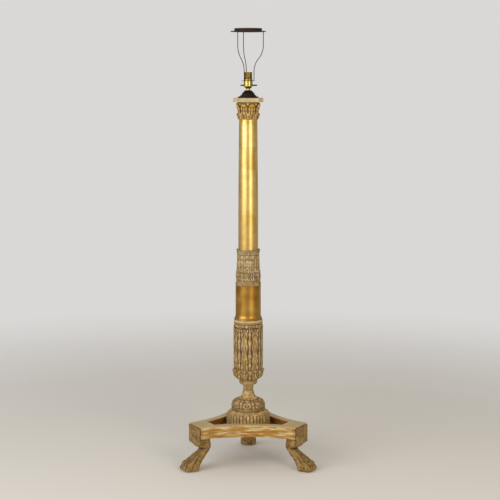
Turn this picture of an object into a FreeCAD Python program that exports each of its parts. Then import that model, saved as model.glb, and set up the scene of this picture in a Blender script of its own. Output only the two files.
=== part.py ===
import FreeCAD, Part
import math
import os
from collections import namedtuple
from types import SimpleNamespace

import Sketcher

# A candlestick floor lamp: a gilded and carved wooden column on a three-sided base with lion-paw
# legs, a bayonet lampholder with a push-bar switch, and a wire gallery that carries the shade.
# The lamp stands on z = 0, its column axis is x = y = 0 and its front faces -Y.
# Lengths are in millimetres and angles in degrees.

SIZES = [
    # name, value, what it is
    ("RailTopHeight", 170, "top of the base rails above the floor"),
    ("RailHeight", 45, "height of a rail"),
    ("RailWidth", 32, "width of a rail from its outer to its inner face"),
    ("RailMiddle", 116.5, "outer face of a rail from the axis, at the middle of its hollow"),
    ("RailHalfAngle", 17, "half the angle that a rail's arc spans between its butt joints"),
    ("CornerFaceDistance", 228, "cut corner face from the axis"),
    ("CornerFaceWidth", 96, "width of the cut corner face"),
    ("GlueLine", 0.05, "gap left in each glued or seated joint"),
    ("EdgeRounding", 2.5, "worn rounding of the rail and corner edges"),
    ("HubHeight", 25, "height of the hub block between the rails"),
    ("HubContactWidth", 120, "width of the hub block against each rail"),
    ("LegWidth", 72, "width of a leg across the haunch"),
    ("LegTongueThickness", 7, "tongue of a leg in front of the corner face"),
    ("LegTongueWidth", 84, "width of that tongue"),
    ("LegTongueDrop", 2, "top of the tongue below the top of the rails"),
    ("LegTongueOverlap", 17, "foot of the tongue below the underside of the rails"),
    ("PawReach", 16, "centre of the paw outside the corner face"),
    ("PawRise", 20, "centre of the paw above the floor"),
    ("PawLength", 62, "length of the paw without its toes"),
    ("PawWidth", 60, "width of the paw without its toes"),
    ("PawHeight", 44, "height of the paw, with what the floor cuts off"),
    ("KnuckleReach", 35, "middle knuckles outside the corner face"),
    ("KnuckleRise", 25, "centre of a knuckle above the floor"),
    ("KnuckleLength", 34, "length of a knuckle"),
    ("KnuckleHeight", 26, "height of a knuckle"),
    ("ToeReach", 47, "ends of the middle toes outside the corner face"),
    ("ToeRise", 12, "centre of a toe's end above the floor"),
    ("ToeLength", 28, "length of a toe's end"),
    ("ToeHeight", 25, "height of a toe's end"),
    ("PawToeWidth", 17, "width of a toe"),
    ("PawToePitch", 15, "distance between two toes"),
    ("PawToeStagger", 3, "how far each toe stands behind the next one towards the middle"),
    ("PawToeCount", 4, "toes on a paw"),
    ("RodRadius", 5, "outer radius of the threaded tube through the column"),
    ("RodBoreRadius", 3.5, "bore of that tube"),
    ("RodClearance", 0.25, "gap between the tube and the wood"),
    ("RodTail", 17, "tube below the hub block"),
    ("FlexRadius", 3, "radius of the flex in the tube"),
    ("FlexTail", 2, "flex beyond the tube inside the lampholder"),
    ("BushFlangeThickness", 3, "flange of the cord bush under the tube"),
    ("BushSleeveHeight", 6, "sleeve of the cord bush inside the tube"),
    ("WasherRadius", 20, "radius of the washer under the hub block"),
    ("WasherThickness", 2, "thickness of that washer"),
    ("NutWidth", 17, "width across flats of the nut under the washer"),
    ("NutHeight", 8, "height of that nut"),
    ("TorusHeight", 55, "height of the gadrooned torus above the hub block"),
    ("TorusRadius", 83, "radius over the gadroons"),
    ("TorusTopRadius", 64, "radius of the top of the torus"),
    ("TorusShoulder", 22, "height of the rounded shoulder of the torus"),
    ("GadroonCount", 38, "gadroons round the torus"),
    ("GadroonRadius", 5.4, "radius of a gadroon's section"),
    ("GadroonDepth", 3, "how far the gadroons stand out of the torus"),
    ("CavettoHeight", 4, "height of the recess over the torus"),
    ("CavettoRadius", 61, "radius of that recess"),
    ("DomeHeight", 38, "height of the leaf-carved dome"),
    ("DomeRadius", 64.3, "radius of the dome"),
    ("DomeRelief", 2, "how far the leaves stand out of the dome"),
    ("DomeBandHeight", 7, "plain band at the foot of the dome"),
    ("DomeShoulder", 14, "height of the dome's rounded shoulder"),
    ("DomeTopRadius", 37, "radius of the top of the dome"),
    ("BellHeight", 25, "height of the bell flare"),
    ("BellLipRadius", 36.8, "radius of the bell's lip"),
    ("BellTopRadius", 22.9, "radius of the top of the bell"),
    ("NeckHeight", 31, "height of the neck"),
    ("NeckRadius", 19.8, "radius of the neck"),
    ("BeadHeight", 19, "height of the twisted bead"),
    ("BeadRadius", 33.5, "radius of the twisted bead"),
    ("BowlHeight", 42, "height of the calyx bowl"),
    ("BowlFootRadius", 33, "radius of the bowl's foot"),
    ("BowlRadius", 57, "radius of the bowl's bulge, without its leaves"),
    ("BowlTipRadius", 62.2, "radius over the curled tips of the bowl's leaves"),
    ("LeafDrumHeight", 176, "height of the lower carved drum"),
    ("LeafDrumRadius", 52.4, "radius of the lower carved drum, without its leaves"),
    ("LeafRelief", 2.8, "how far the leaves of the drum and the collar stand out"),
    ("RibWidth", 5, "width of a leaf's midrib at its foot"),
    ("RibRelief", 0.9, "how far a midrib stands out of its leaf"),
    ("LeafCount", 8, "leaves round the drum, the bowl and the dome"),
    ("DrumLeafTurn", 6.5, "turn of the drum's first leaf from the front"),
    ("DomeLeafTurn", 18, "turn of the dome's first leaf from the front"),
    ("TongueBandHeight", 17, "band of tongues at the top of that drum"),
    ("TongueCount", 24, "tongues in that band"),
    ("TongueRadius", 4.6, "radius of a tongue's section"),
    ("FilletHeight", 13, "height of the cream fillet"),
    ("FilletRadius", 54.6, "radius of the cream fillet"),
    ("GiltDrumHeight", 130, "height of the plain gilded drum"),
    ("GiltDrumRadius", 47.6, "radius of that drum"),
    ("GiltFootHeight", 18, "height of its flared foot"),
    ("GiltFootRadius", 53, "radius of its flared foot"),
    ("RingHeight", 18, "height of the ring moulding"),
    ("RingRadius", 48.4, "radius of the ring moulding"),
    ("RingGrooveRadius", 45, "radius of its grooves"),
    ("CollarHeight", 118.5, "height of the upper leaf collar"),
    ("CollarRadius", 40.6, "radius of the collar, without its leaves"),
    ("CollarBulgeRadius", 44.6, "radius of the collar's bulge, without its leaves"),
    ("CollarLeafCount", 12, "leaves in each row of the collar"),
    ("CollarLeafTurn", -5, "turn of the lower row's first leaf from the front"),
    ("CollarLipRadius", 44.7, "radius of the collar's lip"),
    ("ShaftHeight", 485.5, "height of the gilded shaft"),
    ("ShaftFootRadius", 37.4, "radius of the foot of the shaft"),
    ("ShaftTopRadius", 34, "radius of the top of the shaft"),
    ("CapitalHeight", 65, "height of the leaf capital"),
    ("CapitalFootRadius", 34.5, "radius of the foot of the capital"),
    ("CapitalTopRadius", 40, "radius of the top of the capital"),
    ("CapitalTipRadius", 47.9, "radius over the curled leaf tips"),
    ("CapitalLeafCount", 8, "leaves in each tier of the capital"),
    ("CapitalLeafTurn", 21, "turn of the first tall leaf from the front"),
    ("AbacusHeight", 14.5, "height of the abacus"),
    ("AbacusWidth", 112, "width of the abacus across its sides"),
    ("AbacusCorner", 17.5, "length cut from each side at a corner"),
    ("AbacusHollow", 4, "depth of the hollow in each side"),
    ("CapFlangeRadius", 38, "radius of the flange of the vase cap"),
    ("CapFlangeHeight", 5.5, "height of that flange"),
    ("CapStepRadius", 30.2, "radius of the step of the vase cap"),
    ("CapStepHeight", 4.5, "height of that step"),
    ("CapDomeRadius", 25, "radius of the foot of the cap's dome"),
    ("CapDomeHeight", 18, "height of that dome"),
    ("CapTopRadius", 12.8, "radius of the top of the cap"),
    ("LockNutHeight", 6.3, "height of the lock nut under the lampholder"),
    ("LockNutRadius", 7, "radius of that nut"),
    ("HolderTaperHeight", 9.8, "height of the tapered base of the lampholder"),
    ("HolderHeight", 28.3, "height of the lampholder body with its taper"),
    ("HolderRadius", 16.5, "radius of the lampholder body"),
    ("HolderFootRadius", 7.5, "radius of the foot of the taper"),
    ("HolderWall", 1, "wall of the lampholder body"),
    ("RodInHolder", 5.5, "length of the tube inside the lampholder"),
    ("InsulatorBase", 18.3, "underside of the insulator above the foot of the lampholder"),
    ("InsulatorBoss", 12.3, "height of the insulator inside the bulb collar"),
    ("SkirtHeight", 32.3, "height of the lampholder skirt"),
    ("SkirtRadius", 14.4, "radius of the skirt"),
    ("SkirtWall", 1, "wall of the skirt"),
    ("BulbBoreRadius", 11.25, "bore that takes the cap of the bulb"),
    ("BulbCollarWall", 1.05, "wall of the bulb collar"),
    ("BulbCollarDrop", 1, "top of the bulb collar below the top of the skirt"),
    ("SlotWidth", 3, "width of a bayonet slot"),
    ("SlotDepth", 7.5, "depth of a bayonet slot"),
    ("SlotTurn", 16, "angle of the slot's turn round the collar"),
    ("ShadeRingHeight", 4, "height of the threaded shade ring"),
    ("ShadeRingRadius", 16.5, "radius of the shade ring"),
    ("RunningClearance", 0.08, "gap between a moving piece and its guide"),
    ("PlungerRadius", 2.2, "radius of a contact plunger"),
    ("PlungerOffset", 4.6, "plunger from the axis"),
    ("PlungerLength", 20, "length of a plunger"),
    ("PlungerRise", 8.5, "plunger above the insulator at rest"),
    ("PlungerTravel", 4, "travel of a plunger"),
    ("BarRadius", 2.5, "radius of the push bar"),
    ("BarLength", 61.5, "length of the push bar"),
    ("BarHeight", 12.3, "push bar above the foot of the lampholder"),
    ("BarTravel", 4.4, "travel of the push bar"),
    ("BarShoulderRadius", 3.4, "radius of the bar's stop inside the lampholder"),
    ("TerminalScrewRadius", 2, "radius of a terminal screw's head"),
    ("TerminalScrewHeight", 2, "height of that head"),
    ("TerminalScrewOffset", 9, "terminal screw from the axis"),
    ("CarrierRingRadius", 24.5, "radius of the gallery's lower ring"),
    ("CarrierRingThickness", 1.5, "thickness of that ring"),
    ("WireRadius", 1.4, "radius of a gallery wire"),
    ("WireTopRadius", 57, "wire from the axis under the top ring"),
    ("WireFootRadius", 22, "wire from the axis at the lower ring"),
    ("WireFootHeight", 33, "straight foot of a wire"),
    ("WireBendHeight", 95, "height of the S-bend of a wire"),
    ("WireTopLength", 50, "straight top of a wire"),
    ("WireCount", 3, "wires of the gallery"),
    ("WireTurn", 168, "direction of the first wire, from +X"),
    ("GalleryFlangeRadius", 65.4, "radius of the gallery's flange"),
    ("GalleryFlangeThickness", 2.6, "thickness of that flange"),
    ("GalleryCollarRadius", 51, "outer radius of the gallery's collar"),
    ("GalleryCollarWall", 1.8, "wall of that collar"),
    ("GalleryCollarHeight", 10, "height of that collar"),
]

# A level section of a leg: its height as a share of the leg's height, and as shares of the leg's
# width the inset of its centre from the corner face, its length along the radius and its width.
LegSection = namedtuple("LegSection", "height inset length width")

# Directions of the three rails from +X: the front one first. A corner lies 60 degrees further on.
RAIL_DIRECTIONS = (-90, 30, 150)

# Half widths of a leaf's round lobes from the foot to the tip, as shares of the leaf's own, and
# the width that is left at the notches between them.
LEAF_LOBES = (0.92, 1, 0.9, 0.66)
SHORT_LOBES = (0.85, 1, 0.7)
LEAF_NOTCH = 0.74

# How much of its share of the circle a leaf fills.
LEAF_SPREAD = 0.9

Via = namedtuple("Via", "x y")

doc = FreeCAD.newDocument("FloorLamp")
sheet = doc.addObject("Spreadsheet::Sheet", "Sizes")
nodes = []


class Size:
    """A length or an angle: its value and the expression that gives it from the sheet."""

    def __init__(self, value, text):
        self.value = float(value)
        self.text = text

    def __add__(self, other):
        other = as_size(other)
        return Size(self.value + other.value, f"({self.text} + {other.text})")

    def __sub__(self, other):
        other = as_size(other)
        return Size(self.value - other.value, f"({self.text} - {other.text})")

    def __mul__(self, other):
        other = as_size(other)
        return Size(self.value * other.value, f"({self.text} * {other.text})")

    def __truediv__(self, other):
        other = as_size(other)
        return Size(self.value / other.value, f"({self.text} / {other.text})")

    def __radd__(self, other):
        return as_size(other) + self

    def __rsub__(self, other):
        return as_size(other) - self

    def __rmul__(self, other):
        return as_size(other) * self

    def __rtruediv__(self, other):
        return as_size(other) / self

    def __neg__(self):
        return Size(-self.value, f"(0 - {self.text})")


def as_size(number):
    if isinstance(number, Size):
        return number
    return Size(number, f"{number:.9g}")


def sine(angle):
    angle = as_size(angle)
    return Size(math.sin(math.radians(angle.value)), f"sin({angle.text})")


def cosine(angle):
    angle = as_size(angle)
    return Size(math.cos(math.radians(angle.value)), f"cos({angle.text})")


def root(size):
    size = as_size(size)
    return Size(math.sqrt(size.value), f"sqrt({size.text})")


def fill_sheet():
    """Writes the driving dimensions to the sheet and returns them as sizes by name."""
    for row, (name, value, meaning) in enumerate(SIZES, start=1):
        sheet.set(f"A{row}", name)
        sheet.set(f"B{row}", str(value))
        sheet.set(f"C{row}", meaning)
        sheet.setAlias(f"B{row}", name)
    doc.recompute()
    return SimpleNamespace(**{name: Size(value, f"Sizes.{name}") for name, value, _ in SIZES})


def bind(item, prop, size):
    """Ties a property of an object to the sheet."""
    item.setExpression(prop, as_size(size).text)


def place(item, x=0, y=0, z=0, turn=0):
    """Puts an object at a place bound to the sheet, turned about the vertical."""
    turn = as_size(turn)
    if turn.value:
        item.Placement = FreeCAD.Placement(
            FreeCAD.Vector(0, 0, 0), FreeCAD.Rotation(FreeCAD.Vector(0, 0, 1), turn.value))
        bind(item, "Placement.Rotation.Angle", turn)
    for axis, size in (("x", x), ("y", y), ("z", z)):
        size = as_size(size)
        if size.text != "0":
            bind(item, f"Placement.Base.{axis}", size)


def keep(item, name):
    """Marks an object as one sub-part of the lamp."""
    item.Label = name
    nodes.append(item)
    return item


def origin_feature(body, role):
    return next(item for item in body.Origin.OriginFeatures if item.Role == role)


def new_sketch(body, name, plane, height=0):
    sketch = body.newObject("Sketcher::SketchObject", name)
    sketch.AttachmentSupport = [(origin_feature(body, plane), "")]
    sketch.MapMode = "FlatFace"
    height = as_size(height)
    if height.text != "0":
        bind(sketch, "AttachmentOffset.Base.z", height)
    return sketch


def vector(point):
    return FreeCAD.Vector(as_size(point[0]).value, as_size(point[1]).value, 0)


def draw(sketch, path, closed=True):
    """Draws lines through a path's corners, and an arc wherever a Via lies between two of them.

    Every corner and every Via is tied to the sheet by its distances from the sketch's origin.
    """
    corners = []
    vias = {}
    for point in path:
        if isinstance(point, Via):
            vias[len(corners) - 1] = point
        else:
            corners.append(point)
    limits = []
    ties = []
    expressions = []

    def tie(geometry, vertex, point):
        for kind, other_axis, coordinate in (("DistanceX", -2, point[0]), ("DistanceY", -1, point[1])):
            coordinate = as_size(coordinate)
            if coordinate.text == "0":
                ties.append(Sketcher.Constraint("PointOnObject", geometry, vertex, other_axis))
                continue
            expressions.append((len(ties), coordinate.text))
            ties.append(Sketcher.Constraint(kind, -1, 1, geometry, vertex, coordinate.value))

    for index in range(len(corners) if closed else len(corners) - 1):
        first = vector(corners[index])
        last = vector(corners[(index + 1) % len(corners)])
        if index not in vias:
            limits.append((sketch.addGeometry(Part.LineSegment(first, last)), 1, 2))
            continue
        arc = sketch.addGeometry(Part.Arc(first, vector(vias[index]), last))
        starts_first = sketch.getPoint(arc, 1).distanceToPoint(first) < 1e-6
        limits.append((arc, 1, 2) if starts_first else (arc, 2, 1))
    for index, (geometry, start, end) in enumerate(limits):
        tie(geometry, start, corners[index])
        if index > 0:
            before = limits[index - 1]
            ties.append(Sketcher.Constraint("Coincident", before[0], before[2], geometry, start))
    if closed:
        before = limits[-1]
        after = limits[0]
        ties.append(Sketcher.Constraint("Coincident", before[0], before[2], after[0], after[1]))
    else:
        tie(limits[-1][0], limits[-1][2], corners[-1])
    for index, via in vias.items():
        point = sketch.addGeometry(Part.Point(vector(via)), True)
        tie(point, 1, via)
        ties.append(Sketcher.Constraint("PointOnObject", point, 1, limits[index][0]))
    sketch.addConstraint(ties)
    for position, text in expressions:
        sketch.setExpression(f"Constraints[{position}]", text)


def draw_circle(sketch, across, radius):
    """Draws a circle whose centre lies on the sketch's level axis."""
    centre = FreeCAD.Vector(across.value, 0, 0)
    circle = sketch.addGeometry(Part.Circle(centre, FreeCAD.Vector(0, 0, 1), radius.value))
    sketch.addConstraint([
        Sketcher.Constraint("PointOnObject", circle, 3, -1),
        Sketcher.Constraint("Radius", circle, radius.value),
        Sketcher.Constraint("DistanceX", -1, 1, circle, 3, across.value),
    ])
    sketch.setExpression("Constraints[1]", radius.text)
    sketch.setExpression("Constraints[2]", across.text)


def new_body(name):
    return doc.addObject("PartDesign::Body", name)


def revolve(body, name, path, angle=360):
    """Turns a profile, given as radius and height, about the vertical axis."""
    sketch = new_sketch(body, name + "Profile", "XZ_Plane")
    draw(sketch, path)
    turn = body.newObject("PartDesign::Revolution", name)
    turn.Profile = sketch
    turn.ReferenceAxis = (sketch, ["V_Axis"])
    angle = as_size(angle)
    turn.Angle = angle.value
    if angle.text != "360":
        bind(turn, "Angle", angle)
        turn.Midplane = True
    return turn


def pad(body, name, path, height, base=0, plane="XY_Plane"):
    """Raises an outline drawn on one of the body's planes."""
    sketch = new_sketch(body, name + "Outline", plane, base)
    draw(sketch, path)
    raised = body.newObject("PartDesign::Pad", name)
    raised.Profile = sketch
    bind(raised, "Length", height)
    return raised


def polar(body, name, feature, count):
    """Repeats a feature evenly about the vertical axis."""
    pattern = body.newObject("PartDesign::PolarPattern", name)
    pattern.Originals = [feature]
    pattern.Axis = (origin_feature(body, "Z_Axis"), [""])
    pattern.Angle = 360
    pattern.Occurrences = int(as_size(count).value)
    bind(pattern, "Occurrences", count)
    body.Tip = pattern
    return pattern


def leaf_outline(half_width, foot, tip, lobes=LEAF_LOBES):
    """A leaf seen from its front, with round lobes up both sides, as points across and along it."""
    step = (tip - foot) / (len(lobes) + 1)
    right = []
    left = []
    for number, share in enumerate(lobes):
        low = foot + step * number
        right.append((half_width * share * LEAF_NOTCH, low))
        right.append(Via(half_width * share, low + step * 0.6))
        left.append((-half_width * share * LEAF_NOTCH, low))
        left.append(Via(-half_width * share, low + step * 0.6))
    last = half_width * lobes[-1] * LEAF_NOTCH
    shoulder = foot + step * len(lobes)
    return [*right, (last, shoulder), (as_size(0), tip), (-last, shoulder), *reversed(left)]


def rib_outline(half_width, foot, tip):
    """The midrib of a leaf, which narrows towards the tip."""
    return [(half_width, foot), (half_width * 0.5, tip), (-half_width * 0.5, tip), (-half_width, foot)]


def make_tier(name, count, outline, ring, turn=0):
    """Arms with a leaf's outline round the axis, kept where they meet a turned ring.

    The ring is the tier's profile, whose first point lies on its inner side. The arms start where
    neighbours are still apart.
    """
    inner = as_size(ring[0][0])
    outer = max((point[0] for point in ring), key=lambda size: as_size(size).value)
    start = inner * cosine(180 / count)
    arms = new_body(f"{name}_arms_blank")
    arm = pad(arms, f"{name}_arm", outline, outer + 1 - start, start, "YZ_Plane")
    polar(arms, f"{name}_arms", arm, count)
    place(arms, turn=turn)
    blank = new_body(f"{name}_ring_blank")
    revolve(blank, f"{name}_ring", ring)
    tier = doc.addObject("Part::Common", name)
    tier.Base = arms
    tier.Tool = blank
    return tier


def join(name, pieces, base, turn):
    """One node of pieces that are carved from the same wood, at a height and turned to its first leaf."""
    joined = doc.addObject("Part::MultiFuse", name)
    joined.Shapes = pieces
    place(joined, z=base, turn=270 + turn)
    return keep(joined, name)


def turned(name, path, base):
    """A turned piece of the lamp, standing at a height."""
    body = new_body(name)
    revolve(body, name + "Turning", path)
    place(body, z=base)
    return keep(body, name)


def bore_through(body, name, radius):
    """Cuts a round hole about the axis right through a body."""
    sketch = new_sketch(body, name + "_outline", "XY_Plane")
    circle = sketch.addGeometry(Part.Circle(FreeCAD.Vector(0, 0, 0), FreeCAD.Vector(0, 0, 1), radius.value))
    sketch.addConstraint([
        Sketcher.Constraint("Coincident", circle, 3, -1, 1),
        Sketcher.Constraint("Radius", circle, radius.value),
    ])
    sketch.setExpression("Constraints[1]", radius.text)
    doc.recompute()
    volume = body.Shape.Volume
    hole = body.newObject("PartDesign::Pocket", name)
    hole.Profile = sketch
    hole.Type = 1
    hole.Midplane = True
    doc.recompute()
    if not body.Shape.Volume < volume:
        raise RuntimeError(f"{name} cuts nothing")
    return hole


def revolve_cut(body, name, path, angle, start):
    """Cuts a profile turned through an angle about the vertical axis, from a start direction."""
    sketch = new_sketch(body, name + "_profile", "XZ_Plane")
    start = as_size(start)
    if start.text != "0":
        # Turned about the sketch's own upright, which is the body's vertical axis.
        rotation = FreeCAD.Rotation(FreeCAD.Vector(0, 1, 0), start.value)
        sketch.AttachmentOffset = FreeCAD.Placement(FreeCAD.Vector(0, 0, 0), rotation)
        bind(sketch, "AttachmentOffset.Rotation.Angle", start)
    draw(sketch, path)
    groove = body.newObject("PartDesign::Groove", name)
    groove.Profile = sketch
    groove.ReferenceAxis = (sketch, ["V_Axis"])
    groove.Angle = as_size(angle).value
    groove.Midplane = True
    bind(groove, "Angle", angle)
    return groove


dim = fill_sheet()

# Levels from the floor to the top of the lamp, each on top of the one before.
rail_base = dim.RailTopHeight - dim.RailHeight
hub_top = rail_base + dim.HubHeight
torus_top = hub_top + dim.TorusHeight
dome_base = torus_top + dim.CavettoHeight
bell_base = dome_base + dim.DomeHeight
neck_base = bell_base + dim.BellHeight
bead_base = neck_base + dim.NeckHeight
bowl_base = bead_base + dim.BeadHeight
leaf_drum_base = bowl_base + dim.BowlHeight
fillet_base = leaf_drum_base + dim.LeafDrumHeight
gilt_drum_base = fillet_base + dim.FilletHeight
ring_base = gilt_drum_base + dim.GiltDrumHeight
collar_base = ring_base + dim.RingHeight
shaft_base = collar_base + dim.CollarHeight
capital_base = shaft_base + dim.ShaftHeight
abacus_base = capital_base + dim.CapitalHeight
cap_base = abacus_base + dim.AbacusHeight
lock_nut_base = cap_base + dim.CapFlangeHeight + dim.CapStepHeight + dim.CapDomeHeight
holder_base = lock_nut_base + dim.LockNutHeight
shoulder = holder_base + dim.HolderHeight
carrier_top = shoulder + dim.RunningClearance + dim.CarrierRingThickness
gallery_base = carrier_top + dim.WireFootHeight + dim.WireBendHeight + dim.WireTopLength
bore = dim.RodRadius + dim.RodClearance

# The outer face of a rail is an arc through the middle of the hollow and the edges of the two
# corner faces beside it. In the rail's own frame X runs along the rail and Y points outwards.
half_face = dim.CornerFaceWidth / 2
face_edge_x = dim.CornerFaceDistance * sine(60) - half_face * cosine(60)
face_edge_y = dim.CornerFaceDistance * cosine(60) + half_face * sine(60)
hollow = face_edge_y - dim.RailMiddle
rail_radius = (face_edge_x * face_edge_x + hollow * hollow) / (2 * hollow)
rail_centre = dim.RailMiddle + rail_radius


def rail_point(radius, angle):
    """A point on an arc about the centre of a rail's hollow."""
    return (radius * sine(angle), rail_centre - radius * cosine(angle))


def corner_point(point, side):
    """A point of the rail's frame seen from the corner beside it: outwards, then across."""
    outwards = point[0] * sine(60) + point[1] * cosine(60)
    across = point[0] * cosine(60) - point[1] * sine(60)
    return (outwards, across * side)


def turned_point(across, outwards, direction):
    """A level point given across and outwards along a direction from +X."""
    x = outwards * cosine(direction) - across * sine(direction)
    y = outwards * sine(direction) + across * cosine(direction)
    return (x, y)


def edge_names(shape, wanted):
    """The names of a shape's edges for which a test holds."""
    return [f"Edge{number}" for number, edge in enumerate(shape.Edges, start=1) if wanted(edge)]


def round_edges(body, name, feature, wanted, radius):
    """Rounds those edges of a feature for which a test holds."""
    doc.recompute()
    fillet = body.newObject("PartDesign::Fillet", name)
    fillet.Base = (feature, edge_names(feature.Shape, wanted))
    bind(fillet, "Radius", radius)
    return fillet


def is_arc(edge):
    return edge.Curve.TypeId == "Part::GeomCircle"


def is_face_edge(edge):
    """True for the edges all round the cut corner face."""
    return all(abs(point.X - dim.CornerFaceDistance.value) < 0.01 for point in edge.Vertexes)


def make_rail(index, direction):
    """One hollow-sided rail of the base, from butt joint to butt joint."""
    body = new_body(f"rail_{index}")
    inner_radius = rail_radius + dim.RailWidth
    angle = dim.RailHalfAngle
    path = [
        rail_point(rail_radius, -angle),
        Via(0, dim.RailMiddle),
        rail_point(rail_radius, angle),
        rail_point(inner_radius, angle),
        Via(0, dim.RailMiddle - dim.RailWidth),
        rail_point(inner_radius, -angle),
    ]
    bar = pad(body, f"rail_{index}_bar", path, dim.RailHeight)
    round_edges(body, f"rail_{index}_worn_edges", bar, is_arc, dim.EdgeRounding)
    place(body, z=rail_base, turn=direction - 90)
    return keep(body, f"rail_{index}")


def make_corner_block(index, direction):
    """The block between two rails, with the cut corner face on its outer side."""
    body = new_body(f"corner_block_{index}")
    angle = dim.RailHalfAngle
    gap = dim.GlueLine
    outer_end = rail_point(rail_radius, angle)
    inner_end = rail_point(rail_radius + dim.RailWidth, angle)
    shift = (gap * cosine(angle), gap * sine(angle))
    outer_end = (outer_end[0] + shift[0], outer_end[1] + shift[1])
    inner_end = (inner_end[0] + shift[0], inner_end[1] + shift[1])
    edge_angle = math.degrees(math.asin(face_edge_x.value / rail_radius.value))
    middle = (angle + edge_angle) / 2
    via = rail_point(rail_radius, middle)
    left_outer = corner_point(outer_end, 1)
    right_outer = corner_point(outer_end, -1)
    left_via = corner_point(via, 1)
    right_via = corner_point(via, -1)
    path = [
        (dim.CornerFaceDistance, -half_face),
        (dim.CornerFaceDistance, half_face),
        Via(*right_via),
        right_outer,
        corner_point(inner_end, -1),
        corner_point(inner_end, 1),
        left_outer,
        Via(*left_via),
    ]
    blank = pad(body, f"corner_block_{index}_blank", path, dim.RailHeight)
    round_edges(body, f"corner_block_{index}_worn_edges", blank,
                lambda edge: is_arc(edge) or is_face_edge(edge), dim.EdgeRounding)
    place(body, z=rail_base, turn=direction)
    return keep(body, f"corner_block_{index}")


# From the sole of the paw through the hock, the narrowest place, to the haunch.
LEG_SECTIONS = [
    LegSection(0, -0.22, 0.7, 0.8),
    LegSection(0.14, -0.2, 0.75, 0.86),
    LegSection(0.34, 0.08, 0.63, 0.74),
    LegSection(0.54, 0.43, 0.54, 0.67),
    LegSection(0.64, 0.53, 0.54, 0.68),
    LegSection(0.7, 0.46, 0.74, 0.84),
    LegSection(0.78, 0.36, 0.88, 0.95),
    LegSection(0.9, 0.31, 0.91, 1),
    LegSection(1, 0.32, 0.88, 0.97),
]


def leg_ring(name, section, height):
    """A level ellipse across the leg."""
    ring = doc.addObject("Part::Ellipse", name)
    long_way = section.length >= section.width
    bind(ring, "MajorRadius", dim.LegWidth * max(section.length, section.width) / 2)
    bind(ring, "MinorRadius", dim.LegWidth * min(section.length, section.width) / 2)
    ring.Placement.Rotation = FreeCAD.Rotation(FreeCAD.Vector(0, 0, 1), 0 if long_way else 90)
    bind(ring, "Placement.Base.x", dim.CornerFaceDistance - dim.LegWidth * section.inset)
    bind(ring, "Placement.Base.z", height)
    return ring


def leg_ball(name, reach, across, rise, length, width, height):
    """An ellipsoid of the paw, by its place outside the corner face and its size."""
    lump = doc.addObject("Part::Ellipsoid", name)
    bind(lump, "Radius1", height / 2)
    bind(lump, "Radius2", length / 2)
    bind(lump, "Radius3", width / 2)
    place(lump, dim.CornerFaceDistance + reach, across, rise)
    return lump


def make_leg(index, direction):
    """A lion's hind leg: the haunch under the corner, the hock turned in and the paw turned out."""
    name = f"leg_{index}"
    leg_top = rail_base - dim.GlueLine
    limb = doc.addObject("Part::Loft", f"{name}_limb")
    limb.Sections = [leg_ring(f"{name}_section_{number}", section, leg_top * section.height)
                     for number, section in enumerate(LEG_SECTIONS)]
    limb.Solid = True
    tongue = doc.addObject("Part::Box", f"{name}_tongue")
    tongue_foot = rail_base - dim.LegTongueOverlap
    bind(tongue, "Length", dim.LegTongueThickness)
    bind(tongue, "Width", dim.LegTongueWidth)
    bind(tongue, "Height", dim.RailTopHeight - dim.LegTongueDrop - tongue_foot)
    place(tongue, dim.CornerFaceDistance + dim.GlueLine, -dim.LegTongueWidth / 2, tongue_foot)
    pieces = [limb, tongue]
    pieces.append(leg_ball(f"{name}_paw", dim.PawReach, 0, dim.PawRise,
                           dim.PawLength, dim.PawWidth, dim.PawHeight))
    middle_toe = (dim.PawToeCount.value - 1) / 2
    for toe in range(int(dim.PawToeCount.value)):
        across = dim.PawToePitch * (toe - middle_toe)
        back = dim.PawToeStagger * abs(toe - middle_toe)
        pieces.append(leg_ball(f"{name}_knuckle_{toe}", dim.KnuckleReach - back, across, dim.KnuckleRise,
                               dim.KnuckleLength, dim.PawToeWidth, dim.KnuckleHeight))
        pieces.append(leg_ball(f"{name}_toe_{toe}", dim.ToeReach - back, across, dim.ToeRise,
                               dim.ToeLength, dim.PawToeWidth, dim.ToeHeight))
    joined = doc.addObject("Part::MultiFuse", f"{name}_joined")
    joined.Shapes = pieces
    room = doc.addObject("Part::Box", f"{name}_above_floor")
    bind(room, "Length", dim.CornerFaceDistance * 2)
    bind(room, "Width", dim.CornerFaceWidth * 2)
    bind(room, "Height", dim.RailTopHeight * 2)
    place(room, 0, -dim.CornerFaceWidth, 0)
    leg = doc.addObject("Part::Common", name)
    leg.Base = joined
    leg.Tool = room
    place(leg, turn=direction)
    return keep(leg, name)


def make_hub():
    """The block that fills the middle of the base and carries the column."""
    body = new_body("hub_block")
    face = rail_radius + dim.RailWidth + dim.GlueLine
    across = dim.HubContactWidth / 2
    depth = rail_centre - root(face * face - across * across)
    path = []
    for direction in RAIL_DIRECTIONS:
        # The contact arc follows the inner face of the rail on this side.
        path.append(turned_point(-across, depth, direction))
        path.append(Via(*turned_point(0, rail_centre - face, direction)))
        path.append(turned_point(across, depth, direction))
    pad(body, "hub_blank", path, dim.HubHeight)
    bore_through(body, "hub_bore", bore)
    place(body, z=rail_base)
    return keep(body, "hub_block")


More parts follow.
